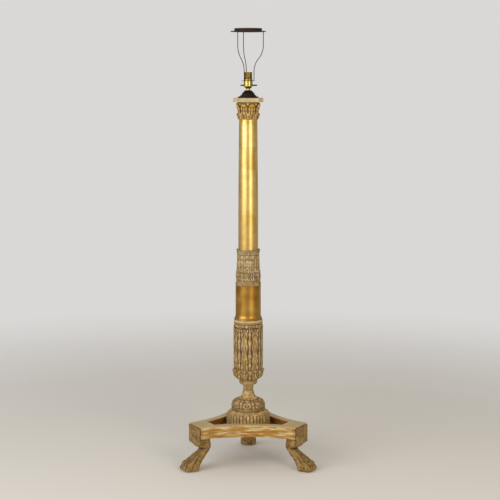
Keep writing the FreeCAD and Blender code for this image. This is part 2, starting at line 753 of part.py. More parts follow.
def make_torus():
    """The torus that the column stands on, with gadroons that run up its side and over its shoulder."""
    body = new_body("gadroon_torus")
    straight = dim.TorusHeight - dim.TorusShoulder
    core = dim.TorusRadius - dim.GadroonDepth
    revolve(body, "torus_core", [
        (bore, 0),
        (core, 0),
        (core, straight),
        Via(core - (core - dim.TorusTopRadius) * 0.24, straight + dim.TorusShoulder * 0.62),
        (dim.TorusTopRadius, dim.TorusHeight),
        (bore, dim.TorusHeight),
    ])
    middle = dim.TorusRadius - dim.GadroonRadius
    top = dim.TorusTopRadius + dim.GadroonDepth
    spine = new_sketch(body, "gadroon_spine", "XZ_Plane")
    draw(spine, [
        (middle, 0),
        (middle, straight),
        Via(middle - (middle - top) * 0.24, straight + dim.TorusShoulder * 0.36),
        (top, straight + dim.TorusShoulder * 0.58),
    ], closed=False)
    section = new_sketch(body, "gadroon_section", "XY_Plane")
    draw_circle(section, middle, dim.GadroonRadius)
    lobe = body.newObject("PartDesign::AdditivePipe", "gadroon")
    lobe.Profile = section
    lobe.Spine = (spine, ["Edge1", "Edge2"])
    polar(body, "gadroons", lobe, dim.GadroonCount)
    place(body, z=hub_top)
    return keep(body, "gadroon_torus")


def make_turned_column():
    """The plain turned pieces between the torus and the capital."""
    turned("cavetto", [(bore, 0), (dim.CavettoRadius, 0), (dim.CavettoRadius, dim.CavettoHeight),
                       (bore, dim.CavettoHeight)], torus_top)
    turned("bell", [
        (bore, 0),
        (dim.BellLipRadius, 0),
        (dim.BellLipRadius, 2.5),
        (dim.BellLipRadius - 2.5, 4),
        Via(dim.BellTopRadius + 3.6, dim.BellHeight * 0.42),
        (dim.BellTopRadius, dim.BellHeight - 3),
        (dim.BellTopRadius, dim.BellHeight),
        (bore, dim.BellHeight),
    ], bell_base)
    turned("neck", [(bore, 0), (dim.NeckRadius, 0), (dim.NeckRadius, dim.NeckHeight),
                    (bore, dim.NeckHeight)], neck_base)
    turned("twist_bead", [
        (bore, 0),
        (dim.BeadRadius - 3, 0),
        Via(dim.BeadRadius, dim.BeadHeight / 2),
        (dim.BeadRadius - 3, dim.BeadHeight),
        (bore, dim.BeadHeight),
    ], bead_base)
    turned("cream_fillet", [
        (bore, 0),
        (dim.FilletRadius, 0),
        (dim.FilletRadius, dim.FilletHeight - 5),
        Via(dim.FilletRadius - 0.6, dim.FilletHeight - 2),
        (dim.GiltFootRadius, dim.FilletHeight),
        (bore, dim.FilletHeight),
    ], fillet_base)
    foot = dim.GiltFootHeight
    turned("gilt_drum", [
        (bore, 0),
        (dim.GiltFootRadius - 1, 0),
        Via(dim.GiltFootRadius, foot * 0.17),
        (dim.GiltFootRadius - 1.5, foot * 0.34),
        Via(dim.GiltDrumRadius + 1.4, foot * 0.62),
        (dim.GiltDrumRadius, foot),
        (dim.GiltDrumRadius, dim.GiltDrumHeight),
        (bore, dim.GiltDrumHeight),
    ], gilt_drum_base)
    turned("ring_moulding", [
        (bore, 0),
        (dim.RingGrooveRadius + 1, 0),
        (dim.RingGrooveRadius + 1, 2),
        (dim.RingRadius - 1, 3),
        Via(dim.RingRadius, dim.RingHeight * 0.43),
        (dim.RingRadius - 1, dim.RingHeight * 0.7),
        (dim.RingGrooveRadius, dim.RingHeight * 0.76),
        (dim.RingGrooveRadius, dim.RingHeight),
        (bore, dim.RingHeight),
    ], ring_base)
    turned("gilt_shaft", [(bore, 0), (dim.ShaftFootRadius, 0), (dim.ShaftTopRadius, dim.ShaftHeight),
                          (bore, dim.ShaftHeight)], shaft_base)


def make_dome():
    """The dome under the bell, with broad leaves that hang over its shoulder to a plain band."""
    body = new_body("leaf_dome")
    radius = dim.DomeRadius - dim.DomeRelief
    band = dim.DomeBandHeight
    height = dim.DomeHeight - dim.DomeRelief
    side = height - dim.DomeShoulder
    rise = height - dim.DomeShoulder * 0.36
    revolve(body, "dome_core", [
        (bore, 0),
        (dim.DomeRadius, 0),
        (dim.DomeRadius, band - dim.DomeRelief),
        (radius, band),
        (radius, side),
        Via(radius * 0.84, rise),
        (dim.DomeTopRadius, height),
        (dim.DomeTopRadius, dim.DomeHeight),
        (bore, dim.DomeHeight),
    ])
    leaf = revolve(body, "dome_leaf", [
        (radius - 3, band + 2),
        (dim.DomeRadius - 0.6, band + 2),
        (dim.DomeRadius, band + 5),
        (dim.DomeRadius, side),
        Via(dim.DomeRadius * 0.85, rise + dim.DomeRelief),
        (dim.DomeTopRadius, dim.DomeHeight),
        (dim.DomeTopRadius, height - 2),
        (radius * 0.8, rise - 3),
    ], 360 / dim.LeafCount * LEAF_SPREAD)
    polar(body, "dome_leaves", leaf, dim.LeafCount)
    place(body, z=dome_base, turn=270 + dim.DomeLeafTurn)
    return keep(body, "leaf_dome")


def make_bowl():
    """The bowl under the leaf drum, in a calyx of leaves whose tips curl out."""
    height = dim.BowlHeight
    foot = dim.BowlFootRadius
    bulge = dim.BowlRadius
    tip = dim.BowlTipRadius
    core = new_body("bowl_core")
    revolve(core, "bowl_turning", [
        (bore, 0),
        (foot, 0),
        Via(bulge * 0.82, height * 0.2),
        (bulge - 2, height * 0.48),
        Via(bulge, height * 0.7),
        (bulge - 2, height),
        (bore, height),
    ])
    half_width = bulge * math.pi / dim.LeafCount
    outline = leaf_outline(half_width, height * 0.1, height, SHORT_LOBES)
    leaves = make_tier("bowl_leaves", dim.LeafCount, outline, [
        (foot - 3, height * 0.1),
        (foot + 9, height * 0.1),
        (bulge - 4, height * 0.3),
        (bulge + 1, height * 0.5),
        (bulge + 2, height * 0.6),
        Via(tip, height * 0.72),
        (bulge + 1, height * 0.84),
        (bulge - 3, height * 0.84),
        (bulge - 5, height * 0.4),
    ])
    return join("calyx_bowl", [core, leaves], bowl_base, dim.DrumLeafTurn)


def make_leaf_drum():
    """The carved drum: tall lobed leaves under a band of small tongues."""
    height = dim.LeafDrumHeight
    band = height - dim.TongueBandHeight
    radius = dim.LeafDrumRadius
    front = radius + dim.LeafRelief
    rib_front = front + dim.RibRelief
    core = new_body("leaf_drum_core")
    revolve(core, "leaf_drum_turning", [
        (bore, 0),
        (radius, 0),
        (radius, band - 1),
        (radius + 1.2, band),
        (radius + 1.2, band + 1.5),
        (radius, band + 2.5),
        (radius, height - 2.5),
        (radius + 1.2, height - 1.5),
        (radius + 1.2, height),
        (bore, height),
    ])
    sketch = new_sketch(core, "tongue_section", "XY_Plane", band + 3)
    draw_circle(sketch, front - dim.TongueRadius, dim.TongueRadius)
    tongue = core.newObject("PartDesign::Pad", "tongue")
    tongue.Profile = sketch
    bind(tongue, "Length", dim.TongueBandHeight - 6)
    polar(core, "tongues", tongue, dim.TongueCount)
    half_width = radius * math.pi / dim.LeafCount * LEAF_SPREAD
    leaves = make_tier("drum_leaves", dim.LeafCount, leaf_outline(half_width, as_size(1), band - 3), [
        (radius - 1, 0.5),
        (front, 0.5),
        (front, band - 2.5),
        (radius - 1, band - 2.5),
    ])
    ribs = make_tier("drum_ribs", dim.LeafCount, rib_outline(dim.RibWidth / 2, as_size(1), band * 0.9), [
        (radius - 1, 0.5),
        (rib_front, 0.5),
        (rib_front, band * 0.7),
        (front - 0.5, band * 0.9),
        (radius - 1, band * 0.9),
    ])
    return join("leaf_drum", [core, leaves, ribs], leaf_drum_base, dim.DrumLeafTurn)


def make_collar():
    """The collar: two rows of leaves between the ring moulding and the flared lip."""
    height = dim.CollarHeight
    radius = dim.CollarRadius
    bulge = dim.CollarBulgeRadius
    relief = dim.LeafRelief
    lip = dim.CollarLipRadius
    waist = height * 0.4
    core = new_body("leaf_collar_core")
    revolve(core, "leaf_collar_turning", [
        (bore, 0),
        (bulge - 1.6, 0),
        (bulge, height * 0.1),
        (bulge, height * 0.2),
        (radius + 1, height * 0.36),
        (radius, waist),
        (radius, height * 0.84),
        (lip - 1, height - 2),
        (lip, height - 2),
        (lip, height),
        (bore, height),
    ])
    half_width = radius * math.pi / dim.CollarLeafCount * LEAF_SPREAD
    low_outline = leaf_outline(half_width, as_size(1), waist, SHORT_LOBES)
    low = make_tier("low_collar_leaves", dim.CollarLeafCount, low_outline, [
        (radius - 1, 0.5),
        (bulge + relief, 0.5),
        (bulge + relief, height * 0.22),
        (radius + relief, waist - 1),
        (radius - 1, waist - 1),
    ])
    tall_outline = leaf_outline(half_width, waist - 12, height - 5, SHORT_LOBES)
    tall = make_tier("tall_collar_leaves", dim.CollarLeafCount, tall_outline, [
        (radius - 1, waist - 12),
        (radius + relief * 0.7, waist - 12),
        (radius + relief * 0.7, height * 0.84),
        (lip, height - 4),
        (radius - 1, height - 4),
    ], turn=180 / dim.CollarLeafCount)
    return join("leaf_collar", [core, low, tall], collar_base, dim.CollarLeafTurn)


def make_capital():
    """The capital: a bell core with two rows of leaves that curl out at their tips."""
    height = dim.CapitalHeight
    foot = dim.CapitalFootRadius
    tip = dim.CapitalTipRadius
    core = new_body("capital_core")
    revolve(core, "capital_turning", [
        (bore, 0),
        (foot, 0),
        (foot, height * 0.5),
        Via(foot + 1.6, height * 0.8),
        (dim.CapitalTopRadius, height * 0.95),
        (dim.CapitalTopRadius, height),
        (bore, height),
    ])
    half_width = foot * math.pi / dim.CapitalLeafCount
    tall_outline = leaf_outline(half_width, height * 0.22, height * 0.9, SHORT_LOBES)
    tall = make_tier("tall_capital_leaves", dim.CapitalLeafCount, tall_outline, [
        (foot - 1, height * 0.2),
        (foot + 3, height * 0.2),
        (foot + 6, height * 0.52),
        (foot + 9, height * 0.62),
        Via(tip, height * 0.72),
        (foot + 9, height * 0.84),
        (foot - 1, height * 0.84),
    ])
    low_outline = leaf_outline(half_width, height * 0.02, height * 0.42, SHORT_LOBES)
    low = make_tier("low_capital_leaves", dim.CapitalLeafCount, low_outline, [
        (foot - 1, 0.5),
        (foot + 2, 0.5),
        (foot + 5, height * 0.2),
        Via(tip - 3, height * 0.29),
        (foot + 6, height * 0.38),
        (foot - 1, height * 0.38),
    ], turn=180 / dim.CapitalLeafCount)
    return join("capital", [core, tall, low], capital_base, dim.CapitalLeafTurn)


def make_abacus():
    """The square slab on the capital, with cut corners and slightly hollow sides."""
    body = new_body("abacus")
    half = dim.AbacusWidth / 2
    corner = half - dim.AbacusCorner
    path = []
    for direction in (0, 90, 180, 270):
        path.append(turned_point(-corner, half, direction))
        path.append(Via(*turned_point(0, half - dim.AbacusHollow, direction)))
        path.append(turned_point(corner, half, direction))
    pad(body, "abacus_slab", path, dim.AbacusHeight)
    bore_through(body, "abacus_bore", bore)
    place(body, z=abacus_base)
    return keep(body, "abacus")


def make_rod():
    """The threaded tube that ties the column together, with its washer, nut, bush and flex."""
    foot = rail_base - dim.RodTail
    length = holder_base + dim.RodInHolder - foot
    turned("column_rod", [(dim.RodBoreRadius, 0), (dim.RodRadius, 0), (dim.RodRadius, length),
                          (dim.RodBoreRadius, length)], foot)
    hole = dim.RodRadius + dim.GlueLine
    turned("rod_washer", [(hole, 0), (dim.WasherRadius, 0), (dim.WasherRadius, dim.WasherThickness),
                          (hole, dim.WasherThickness)], rail_base - dim.WasherThickness)
    nut = new_body("rod_nut")
    corner = dim.NutWidth / 2 / cosine(30)
    path = [(corner * round(math.cos(math.radians(60 * side)), 9),
             corner * round(math.sin(math.radians(60 * side)), 9)) for side in range(6)]
    pad(nut, "rod_nut_blank", path, dim.NutHeight)
    bore_through(nut, "rod_nut_thread", hole)
    place(nut, z=rail_base - dim.WasherThickness - dim.NutHeight)
    keep(nut, "rod_nut")
    bush_flange = dim.BushFlangeThickness
    bush_top = bush_flange + dim.BushSleeveHeight
    sleeve = dim.RodBoreRadius - dim.GlueLine
    turned("cord_bush", [
        (dim.FlexRadius + dim.GlueLine, 0),
        (dim.RodRadius + 1, 0),
        (dim.RodRadius + 1, bush_flange),
        (sleeve, bush_flange),
        (sleeve, bush_top),
        (dim.FlexRadius + dim.GlueLine, bush_top),
    ], foot - bush_flange)
    flex = doc.addObject("Part::Cylinder", "inner_flex")
    bind(flex, "Radius", dim.FlexRadius)
    bind(flex, "Height", length + bush_flange + dim.FlexTail)
    place(flex, z=foot - bush_flange)
    keep(flex, "inner_flex")


def make_cap():
    """The dark stepped cap on the abacus and the nut that locks the lampholder over it."""
    step = dim.CapFlangeHeight + dim.CapStepHeight
    top = step + dim.CapDomeHeight
    turned("vase_cap", [
        (bore, 0),
        (dim.CapFlangeRadius, 0),
        (dim.CapFlangeRadius, dim.CapFlangeHeight - 1.5),
        (dim.CapFlangeRadius - 1.5, dim.CapFlangeHeight),
        (dim.CapStepRadius + 1, dim.CapFlangeHeight),
        (dim.CapStepRadius, dim.CapFlangeHeight + 1),
        (dim.CapStepRadius, step - 1),
        (dim.CapStepRadius - 1, step),
        (dim.CapDomeRadius, step),
        Via((dim.CapDomeRadius + dim.CapTopRadius) / 2 + 3.4, step + dim.CapDomeHeight * 0.44),
        (dim.CapTopRadius, top),
        (bore, top),
    ], cap_base)
    hole = dim.RodRadius + dim.GlueLine
    turned("lock_nut", [
        (hole, 0),
        (dim.LockNutRadius - 0.6, 0),
        (dim.LockNutRadius, 0.6),
        (dim.LockNutRadius, dim.LockNutHeight - 0.6),
        (dim.LockNutRadius - 0.6, dim.LockNutHeight),
        (hole, dim.LockNutHeight),
    ], lock_nut_base)


def make_holder_body():
    """The brass lampholder body: a tapered cup with a shoulder and two holes for the push bar."""
    body = new_body("holder_body")
    wall = dim.HolderWall
    taper = dim.HolderTaperHeight
    ledge = dim.BulbBoreRadius + dim.BulbCollarWall + dim.GlueLine
    hole = dim.RodRadius + dim.GlueLine
    revolve(body, "holder_cup", [
        (hole, 0),
        (dim.HolderFootRadius, 0),
        Via(dim.HolderRadius - 2.6, taper * 0.5),
        (dim.HolderRadius, taper),
        (dim.HolderRadius, dim.HolderHeight),
        (ledge, dim.HolderHeight),
        (ledge, dim.HolderHeight - wall),
        (dim.HolderRadius - wall, dim.HolderHeight - wall),
        (dim.HolderRadius - wall, taper),
        Via(dim.HolderRadius - 2.6 - wall, taper * 0.5 + wall * 0.6),
        (dim.HolderFootRadius - 0.5, wall),
        (hole, wall),
    ])
    doc.recompute()
    volume = body.Shape.Volume
    sketch = new_sketch(body, "bar_holes_outline", "YZ_Plane")
    radius = dim.BarRadius + dim.RunningClearance
    centre = FreeCAD.Vector(0, dim.BarHeight.value, 0)
    circle = sketch.addGeometry(Part.Circle(centre, FreeCAD.Vector(0, 0, 1), radius.value))
    sketch.addConstraint([
        Sketcher.Constraint("PointOnObject", circle, 3, -2),
        Sketcher.Constraint("Radius", circle, radius.value),
        Sketcher.Constraint("DistanceY", -1, 1, circle, 3, dim.BarHeight.value),
    ])
    sketch.setExpression("Constraints[1]", radius.text)
    sketch.setExpression("Constraints[2]", dim.BarHeight.text)
    holes = body.newObject("PartDesign::Pocket", "bar_holes")
    holes.Profile = sketch
    holes.Type = 1
    holes.Midplane = True
    doc.recompute()
    if not body.Shape.Volume < volume:
        raise RuntimeError("the push bar's holes cut nothing")
    place(body, z=holder_base)
    return keep(body, "holder_body")


def make_insulator():
    """The insulator of the lampholder, with the guides of the two contact plungers."""
    body = new_body("holder_insulator")
    disc = dim.HolderRadius - dim.HolderWall - dim.GlueLine
    disc_top = dim.HolderHeight - dim.HolderWall - dim.InsulatorBase - dim.GlueLine
    boss = dim.BulbBoreRadius - dim.GlueLine
    revolve(body, "insulator_blank", [
        (0, 0),
        (disc, 0),
        (disc, disc_top),
        (boss, disc_top),
        (boss, disc_top + dim.InsulatorBoss),
        (0, disc_top + dim.InsulatorBoss),
    ])
    insulator_top = disc_top + dim.InsulatorBoss
    guide_depth = dim.PlungerLength - dim.PlungerRise + dim.PlungerTravel + 0.5
    guide_foot = insulator_top - guide_depth
    sketch = new_sketch(body, "plunger_guides_outline", "XY_Plane", guide_foot)
    radius = dim.PlungerRadius + dim.RunningClearance
    ties = []
    for side in (-1, 1):
        centre = FreeCAD.Vector(side * dim.PlungerOffset.value, 0, 0)
        circle = sketch.addGeometry(Part.Circle(centre, FreeCAD.Vector(0, 0, 1), radius.value))
        ties.append(Sketcher.Constraint("PointOnObject", circle, 3, -1))
        ties.append(Sketcher.Constraint("Radius", circle, radius.value))
        ties.append(Sketcher.Constraint("DistanceX", -1, 1, circle, 3, side * dim.PlungerOffset.value))
    sketch.addConstraint(ties)
    for circle, side in enumerate((-1, 1)):
        sketch.setExpression(f"Constraints[{3 * circle + 1}]", radius.text)
        sketch.setExpression(f"Constraints[{3 * circle + 2}]", (dim.PlungerOffset * side).text)
    doc.recompute()
    volume = body.Shape.Volume
    guides = body.newObject("PartDesign::Pocket", "plunger_guides")
    guides.Profile = sketch
    guides.Type = 1
    guides.Reversed = True
    doc.recompute()
    if not body.Shape.Volume < volume:
        raise RuntimeError("the plunger guides cut nothing")
    place(body, z=holder_base + dim.InsulatorBase)
    return keep(body, "holder_insulator")


def make_bulb_collar():
    """The inner tube that holds the bulb's cap, with two bayonet slots shaped like a J."""
    body = new_body("bulb_collar")
    foot = shoulder - dim.HolderWall
    height = dim.SkirtHeight + dim.HolderWall - dim.BulbCollarDrop
    inner = dim.BulbBoreRadius
    outer = dim.BulbBoreRadius + dim.BulbCollarWall
    revolve(body, "bulb_collar_tube", [(inner, 0), (outer, 0), (outer, height), (inner, height)])
    doc.recompute()
    volume = body.Shape.Volume
    down = revolve_cut(body, "slot_down", [
        (inner - 1, height - dim.SlotDepth),
        (outer + 1, height - dim.SlotDepth),
        (outer + 1, height + 1),
        (inner - 1, height + 1),
    ], dim.SlotWidth / inner * (180 / math.pi), 0)
    turn = revolve_cut(body, "slot_turn", [
        (inner - 1, height - dim.SlotDepth),
        (outer + 1, height - dim.SlotDepth),
        (outer + 1, height - dim.SlotDepth + dim.SlotWidth),
        (inner - 1, height - dim.SlotDepth + dim.SlotWidth),
    ], dim.SlotTurn, dim.SlotTurn / 2)
    pattern = body.newObject("PartDesign::PolarPattern", "slot_pair")
    pattern.Originals = [down, turn]
    pattern.Axis = (origin_feature(body, "Z_Axis"), [""])
    pattern.Angle = 360
    pattern.Occurrences = 2
    body.Tip = pattern
    doc.recompute()
    if not body.Shape.Volume < volume:
        raise RuntimeError("the bayonet slots cut nothing")
    place(body, z=foot, turn=90)
    return keep(body, "bulb_collar")


def make_holder_top():
    """The skirt over the bulb collar and the shade ring that is threaded on it."""
    inner = dim.BulbBoreRadius + dim.BulbCollarWall + dim.GlueLine
    skirt_bore = dim.SkirtRadius - dim.SkirtWall
    turned("holder_skirt", [
        (inner, 0),
        (dim.SkirtRadius, 0),
        (dim.SkirtRadius, dim.SkirtHeight - 0.4),
        (dim.SkirtRadius - 0.4, dim.SkirtHeight),
        (skirt_bore, dim.SkirtHeight),
        (skirt_bore, dim.SkirtWall),
        (inner, dim.SkirtWall),
    ], shoulder)
    ring_bore = dim.SkirtRadius + dim.RunningClearance
    turned("shade_ring", [
        (ring_bore, 0),
        (dim.ShadeRingRadius - 0.6, 0),
        (dim.ShadeRingRadius, 0.6),
        (dim.ShadeRingRadius, dim.ShadeRingHeight - 0.6),
        (dim.ShadeRingRadius - 0.6, dim.ShadeRingHeight),
        (ring_bore, dim.ShadeRingHeight),
    ], carrier_top + dim.RunningClearance)


def make_plungers():
    """The two sprung contacts that press on the bulb's cap."""
    insulator_top = shoulder - dim.HolderWall - dim.GlueLine + dim.InsulatorBoss
    length = dim.PlungerLength
    for name, side in (("plunger_left", -1), ("plunger_right", 1)):
        body = new_body(name)
        revolve(body, name + "_pin", [
            (0, 0),
            (dim.PlungerRadius, 0),
            (dim.PlungerRadius, length - 1),
            (dim.PlungerRadius - 1, length),
            (0, length),
        ])
        place(body, dim.PlungerOffset * side, 0, insulator_top + dim.PlungerRise - length)
        keep(body, name)


def make_push_bar():
    """The push bar of the switch, shown pushed to the right, with its stop inside the body."""
    body = new_body("push_bar")
    half = dim.BarLength / 2
    stop = dim.HolderRadius - dim.HolderWall - 0.5 - dim.BarTravel / 2
    revolve(body, "push_bar_pin", [
        (0, -half),
        (dim.BarRadius - 0.8, -half),
        (dim.BarRadius, 0.8 - half),
        (dim.BarRadius, -stop),
        (dim.BarShoulderRadius, -stop),
        (dim.BarShoulderRadius, stop),
        (dim.BarRadius, stop),
        (dim.BarRadius, half - 0.8),
        (dim.BarRadius - 0.8, half),
        (0, half),
    ])
    body.Placement = FreeCAD.Placement(
        FreeCAD.Vector(0, 0, 0), FreeCAD.Rotation(FreeCAD.Vector(0, 1, 0), 90))
    bind(body, "Placement.Base.x", dim.BarTravel / 2)
    bind(body, "Placement.Base.z", holder_base + dim.BarHeight)
    return keep(body, "push_bar")


def make_terminal_screws():
    """The two screws that clamp the flex under the insulator."""
    screws = []
    for side in (-1, 1):
        screw = doc.addObject("Part::Cylinder", "terminal_screw")
        bind(screw, "Radius", dim.TerminalScrewRadius)
        bind(screw, "Height", dim.TerminalScrewHeight)
        place(screw, 0, dim.TerminalScrewOffset * side,
              holder_base + dim.InsulatorBase - dim.TerminalScrewHeight - dim.GlueLine)
        screws.append(screw)
    pair = doc.addObject("Part::Compound", "terminal_screws")
    pair.Links = screws
    return keep(pair, "terminal_screws")


def make_gallery():
    """The wire gallery: a ring for the shade on three bent wires over a ring on the lampholder."""
    ring_bore = dim.SkirtRadius + dim.RunningClearance
    turned("carrier_ring", [
        (ring_bore, 0),
        (dim.CarrierRingRadius, 0),
        (dim.CarrierRingRadius, dim.CarrierRingThickness),
        (ring_bore, dim.CarrierRingThickness),
    ], shoulder + dim.RunningClearance)
    collar_bore = dim.GalleryCollarRadius - dim.GalleryCollarWall
    flange = dim.GalleryFlangeThickness
    top = dim.GalleryCollarHeight + flange
    turned("gallery_ring", [
        (collar_bore, 0),
        (dim.GalleryFlangeRadius - 0.6, 0),
        (dim.GalleryFlangeRadius, 0.6),
        (dim.GalleryFlangeRadius, flange - 0.6),
        (dim.GalleryFlangeRadius - 0.6, flange),
        (dim.GalleryCollarRadius, flange),
        (dim.GalleryCollarRadius, top - 0.4),
        (dim.GalleryCollarRadius - 0.4, top),
        (collar_bore, top),
    ], gallery_base)
    for index in range(int(dim.WireCount.value)):
        make_wire(index)


def make_wire(index):
    """One wire: straight down from the top ring, in through an S-bend, straight to the lower ring."""
    name = f"gallery_wire_{index + 1}"
    body = new_body(name)
    foot = dim.WireFootRadius
    top = dim.WireTopRadius
    bend_foot = dim.WireFootHeight
    bend_top = bend_foot + dim.WireBendHeight
    end = bend_top + dim.WireTopLength
    shift = (top - foot) / 2
    rise = dim.WireBendHeight / 2
    bend = (shift * shift + rise * rise) / (2 * shift)
    chord = root((shift * shift + rise * rise)) / 2
    sag = bend - root(bend * bend - chord * chord)
    # The middle of each arc lies off the middle of its chord, square to the chord.
    across = sag * rise / (2 * chord)
    along = sag * shift / (2 * chord)
    spine = new_sketch(body, name + "_spine", "XZ_Plane")
    draw(spine, [
        (foot, 0),
        (foot, bend_foot),
        Via(foot + shift / 2 - across, bend_foot + rise / 2 + along),
        (foot + shift, bend_foot + rise),
        Via(top - shift / 2 + across, bend_top - rise / 2 - along),
        (top, bend_top),
        (top, end),
    ], closed=False)
    section = new_sketch(body, name + "_section", "XY_Plane")
    draw_circle(section, foot, dim.WireRadius)
    pipe = body.newObject("PartDesign::AdditivePipe", name + "_pipe")
    pipe.Profile = section
    pipe.Spine = (spine, [f"Edge{number}" for number in range(1, 5)])
    place(body, z=carrier_top, turn=dim.WireTurn - 180 + index * 360 / dim.WireCount)
    return keep(body, name)


def export_nodes():
    """Checks every object and writes each sub-part to its own file."""
    doc.recompute()
    for item in doc.Objects:
        if {"Invalid", "Error"} & set(item.State):
            raise RuntimeError(f"{item.Label} failed: {item.State}")
    os.makedirs("parts", exist_ok=True)
    for item in nodes:
        if item.Shape.isNull() or not item.Shape.isValid():
            raise RuntimeError(f"{item.Label} has no valid shape")
    for item in nodes:
        item.Shape.exportStep(f"parts/{item.Label}.step")


for number, direction in enumerate(RAIL_DIRECTIONS, start=1):
    make_rail(number, direction)
    make_corner_block(number, direction + 60)
    make_leg(number, direction + 60)
make_hub()
make_torus()
make_turned_column()
make_dome()
make_bowl()
make_leaf_drum()
make_collar()
make_capital()
make_abacus()
make_rod()
make_cap()
make_holder_body()
make_insulator()
make_bulb_collar()
make_holder_top()
make_plungers()
make_push_bar()
make_terminal_screws()
make_gallery()
export_nodes()
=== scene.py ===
import math

import bpy
import numpy as np
from bpy.props import FloatProperty, FloatVectorProperty, IntProperty, PointerProperty
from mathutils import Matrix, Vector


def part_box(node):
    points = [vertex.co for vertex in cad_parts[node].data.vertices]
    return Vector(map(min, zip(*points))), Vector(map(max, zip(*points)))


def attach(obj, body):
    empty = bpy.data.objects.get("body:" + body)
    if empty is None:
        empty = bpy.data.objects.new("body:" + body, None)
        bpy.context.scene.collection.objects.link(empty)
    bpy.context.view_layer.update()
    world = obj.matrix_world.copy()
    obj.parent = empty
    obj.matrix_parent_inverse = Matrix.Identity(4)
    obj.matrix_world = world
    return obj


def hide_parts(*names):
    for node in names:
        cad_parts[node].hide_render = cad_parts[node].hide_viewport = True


bl_info = {
    "name": "Candlestick Floor Lamp",
    "version": (1, 0, 0),
    "blender": (4, 5, 0),
    "location": "View3D > Sidebar > Floor Lamp",
    "description": "Carves and gilds a wooden floor lamp and sets it on a plain pale stage",
    "category": "Add Mesh",
}

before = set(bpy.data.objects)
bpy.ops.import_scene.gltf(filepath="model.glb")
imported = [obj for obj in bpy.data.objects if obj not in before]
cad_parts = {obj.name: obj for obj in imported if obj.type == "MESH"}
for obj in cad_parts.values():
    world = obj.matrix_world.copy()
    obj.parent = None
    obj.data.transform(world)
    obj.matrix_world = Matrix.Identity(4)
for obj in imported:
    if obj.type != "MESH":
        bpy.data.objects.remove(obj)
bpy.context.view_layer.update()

MM = 0.001
FRONT = -math.pi / 2  # the side of the lamp that the camera looks at
COLUMNS = 192  # points round a plain turned piece
CORE = 6  # radius in millimetres at which a flat end is closed to a point on the axis


def linear(colour):
    """The linear values of an sRGB colour written as #RRGGBB, with an alpha of 1."""
    channels = np.array([int(colour[place:place + 2], 16) for place in (1, 3, 5)]) / 255
    dark = channels / 12.92
    light = ((channels + 0.055) / 1.055) ** 2.4
    return (*(float(value) for value in np.where(channels <= 0.04045, dark, light)), 1.0)


# Curves and surfaces

def flowing(points, count):
    """A smooth curve through the points.

    Between two points it is the cubic whose slope at each of them is half the step between that
    point's two neighbours. Two points alone give a straight line.
    """
    points = np.asarray(points, float)
    points = np.vstack([2 * points[0] - points[1], points, 2 * points[-1] - points[-2]])
    spans = len(points) - 3
    place = np.linspace(0, spans, count)
    span = np.minimum(place.astype(int), spans - 1)
    part = (place - span)[:, None]
    before, start, end, after = (points[span + step] for step in range(4))
    return start + 0.5 * part * (end - before + part * (
        2 * before - 5 * start + 4 * end - after + part * (3 * start - before - 3 * end + after)))


def outline(*runs, step=1.0):
    """Runs joined into one outline of radius and height: each is a smooth curve through its points.

    A flat end, which is a level run between two points, only gets points near its rims.
    """
    pieces = []
    for run in runs:
        run = np.asarray(run, float)
        length = np.linalg.norm(np.diff(run, axis=0), axis=1).sum()
        if len(run) == 2 and run[0, 1] == run[1, 1] and length > 4 * step:
            share = np.array([0, step / length, 1 - step / length, 1])[:, None]
            pieces.append(run[0] + share * (run[1] - run[0]))
        else:
            pieces.append(flowing(run, max(2, round(length / step) + 1)))
    points = np.vstack(pieces)
    moved = np.linalg.norm(np.diff(points, axis=0), axis=1) > 1e-6
    return points[np.concatenate([[True], moved])]


def outward(curve):
    """The unit normals of a curve of radius and height: its tangent turned a quarter to the outside."""
    tangent = np.gradient(curve, axis=0)
    normal = np.stack([tangent[:, 1], -tangent[:, 0]], axis=1)
    return normal / np.linalg.norm(normal, axis=1)[:, None]


def smooth_step(value, low, high):
    """0 below low, 1 above high, and the cubic 3t^2 - 2t^3 between them."""
    part = np.clip((value - low) / (high - low), 0, 1)
    return part * part * (3 - 2 * part)


def half_round(phase):
    """The section of a row of half-round ribs: a half circle over each whole step of the phase."""
    across = 2 * (phase % 1) - 1
    return np.sqrt(np.clip(1 - across * across, 0, 1))


def around(radius, angle, height):
    """Points in millimetres: x = r cos a, y = r sin a, z = h."""
    height = height + 0 * angle + 0 * radius
    return np.stack([radius * np.cos(angle), radius * np.sin(angle), height], axis=-1)


def turned(curve, relief=None, columns=COLUMNS, recess=0.0):
    """Loops of a turned surface: the outline, moved out along its normal by the relief, and turned.

    The relief is a function of the angle and the height that gives millimetres and a recess from
    0, open, to 1, deep. Without one the surface is smooth and has the one recess given.
    """
    angle = np.linspace(0, 2 * math.pi, columns, endpoint=False)[None, :]
    normal = outward(curve)
    if relief:
        rise, marks = relief(angle, curve[:, 1:])
    else:
        rise, marks = np.zeros((len(curve), columns)), float(recess)
    radius = curve[:, :1] + rise * normal[:, :1]
    height = curve[:, 1:] + rise * normal[:, 1:]
    return around(radius, angle, height), np.broadcast_to(marks, rise.shape)


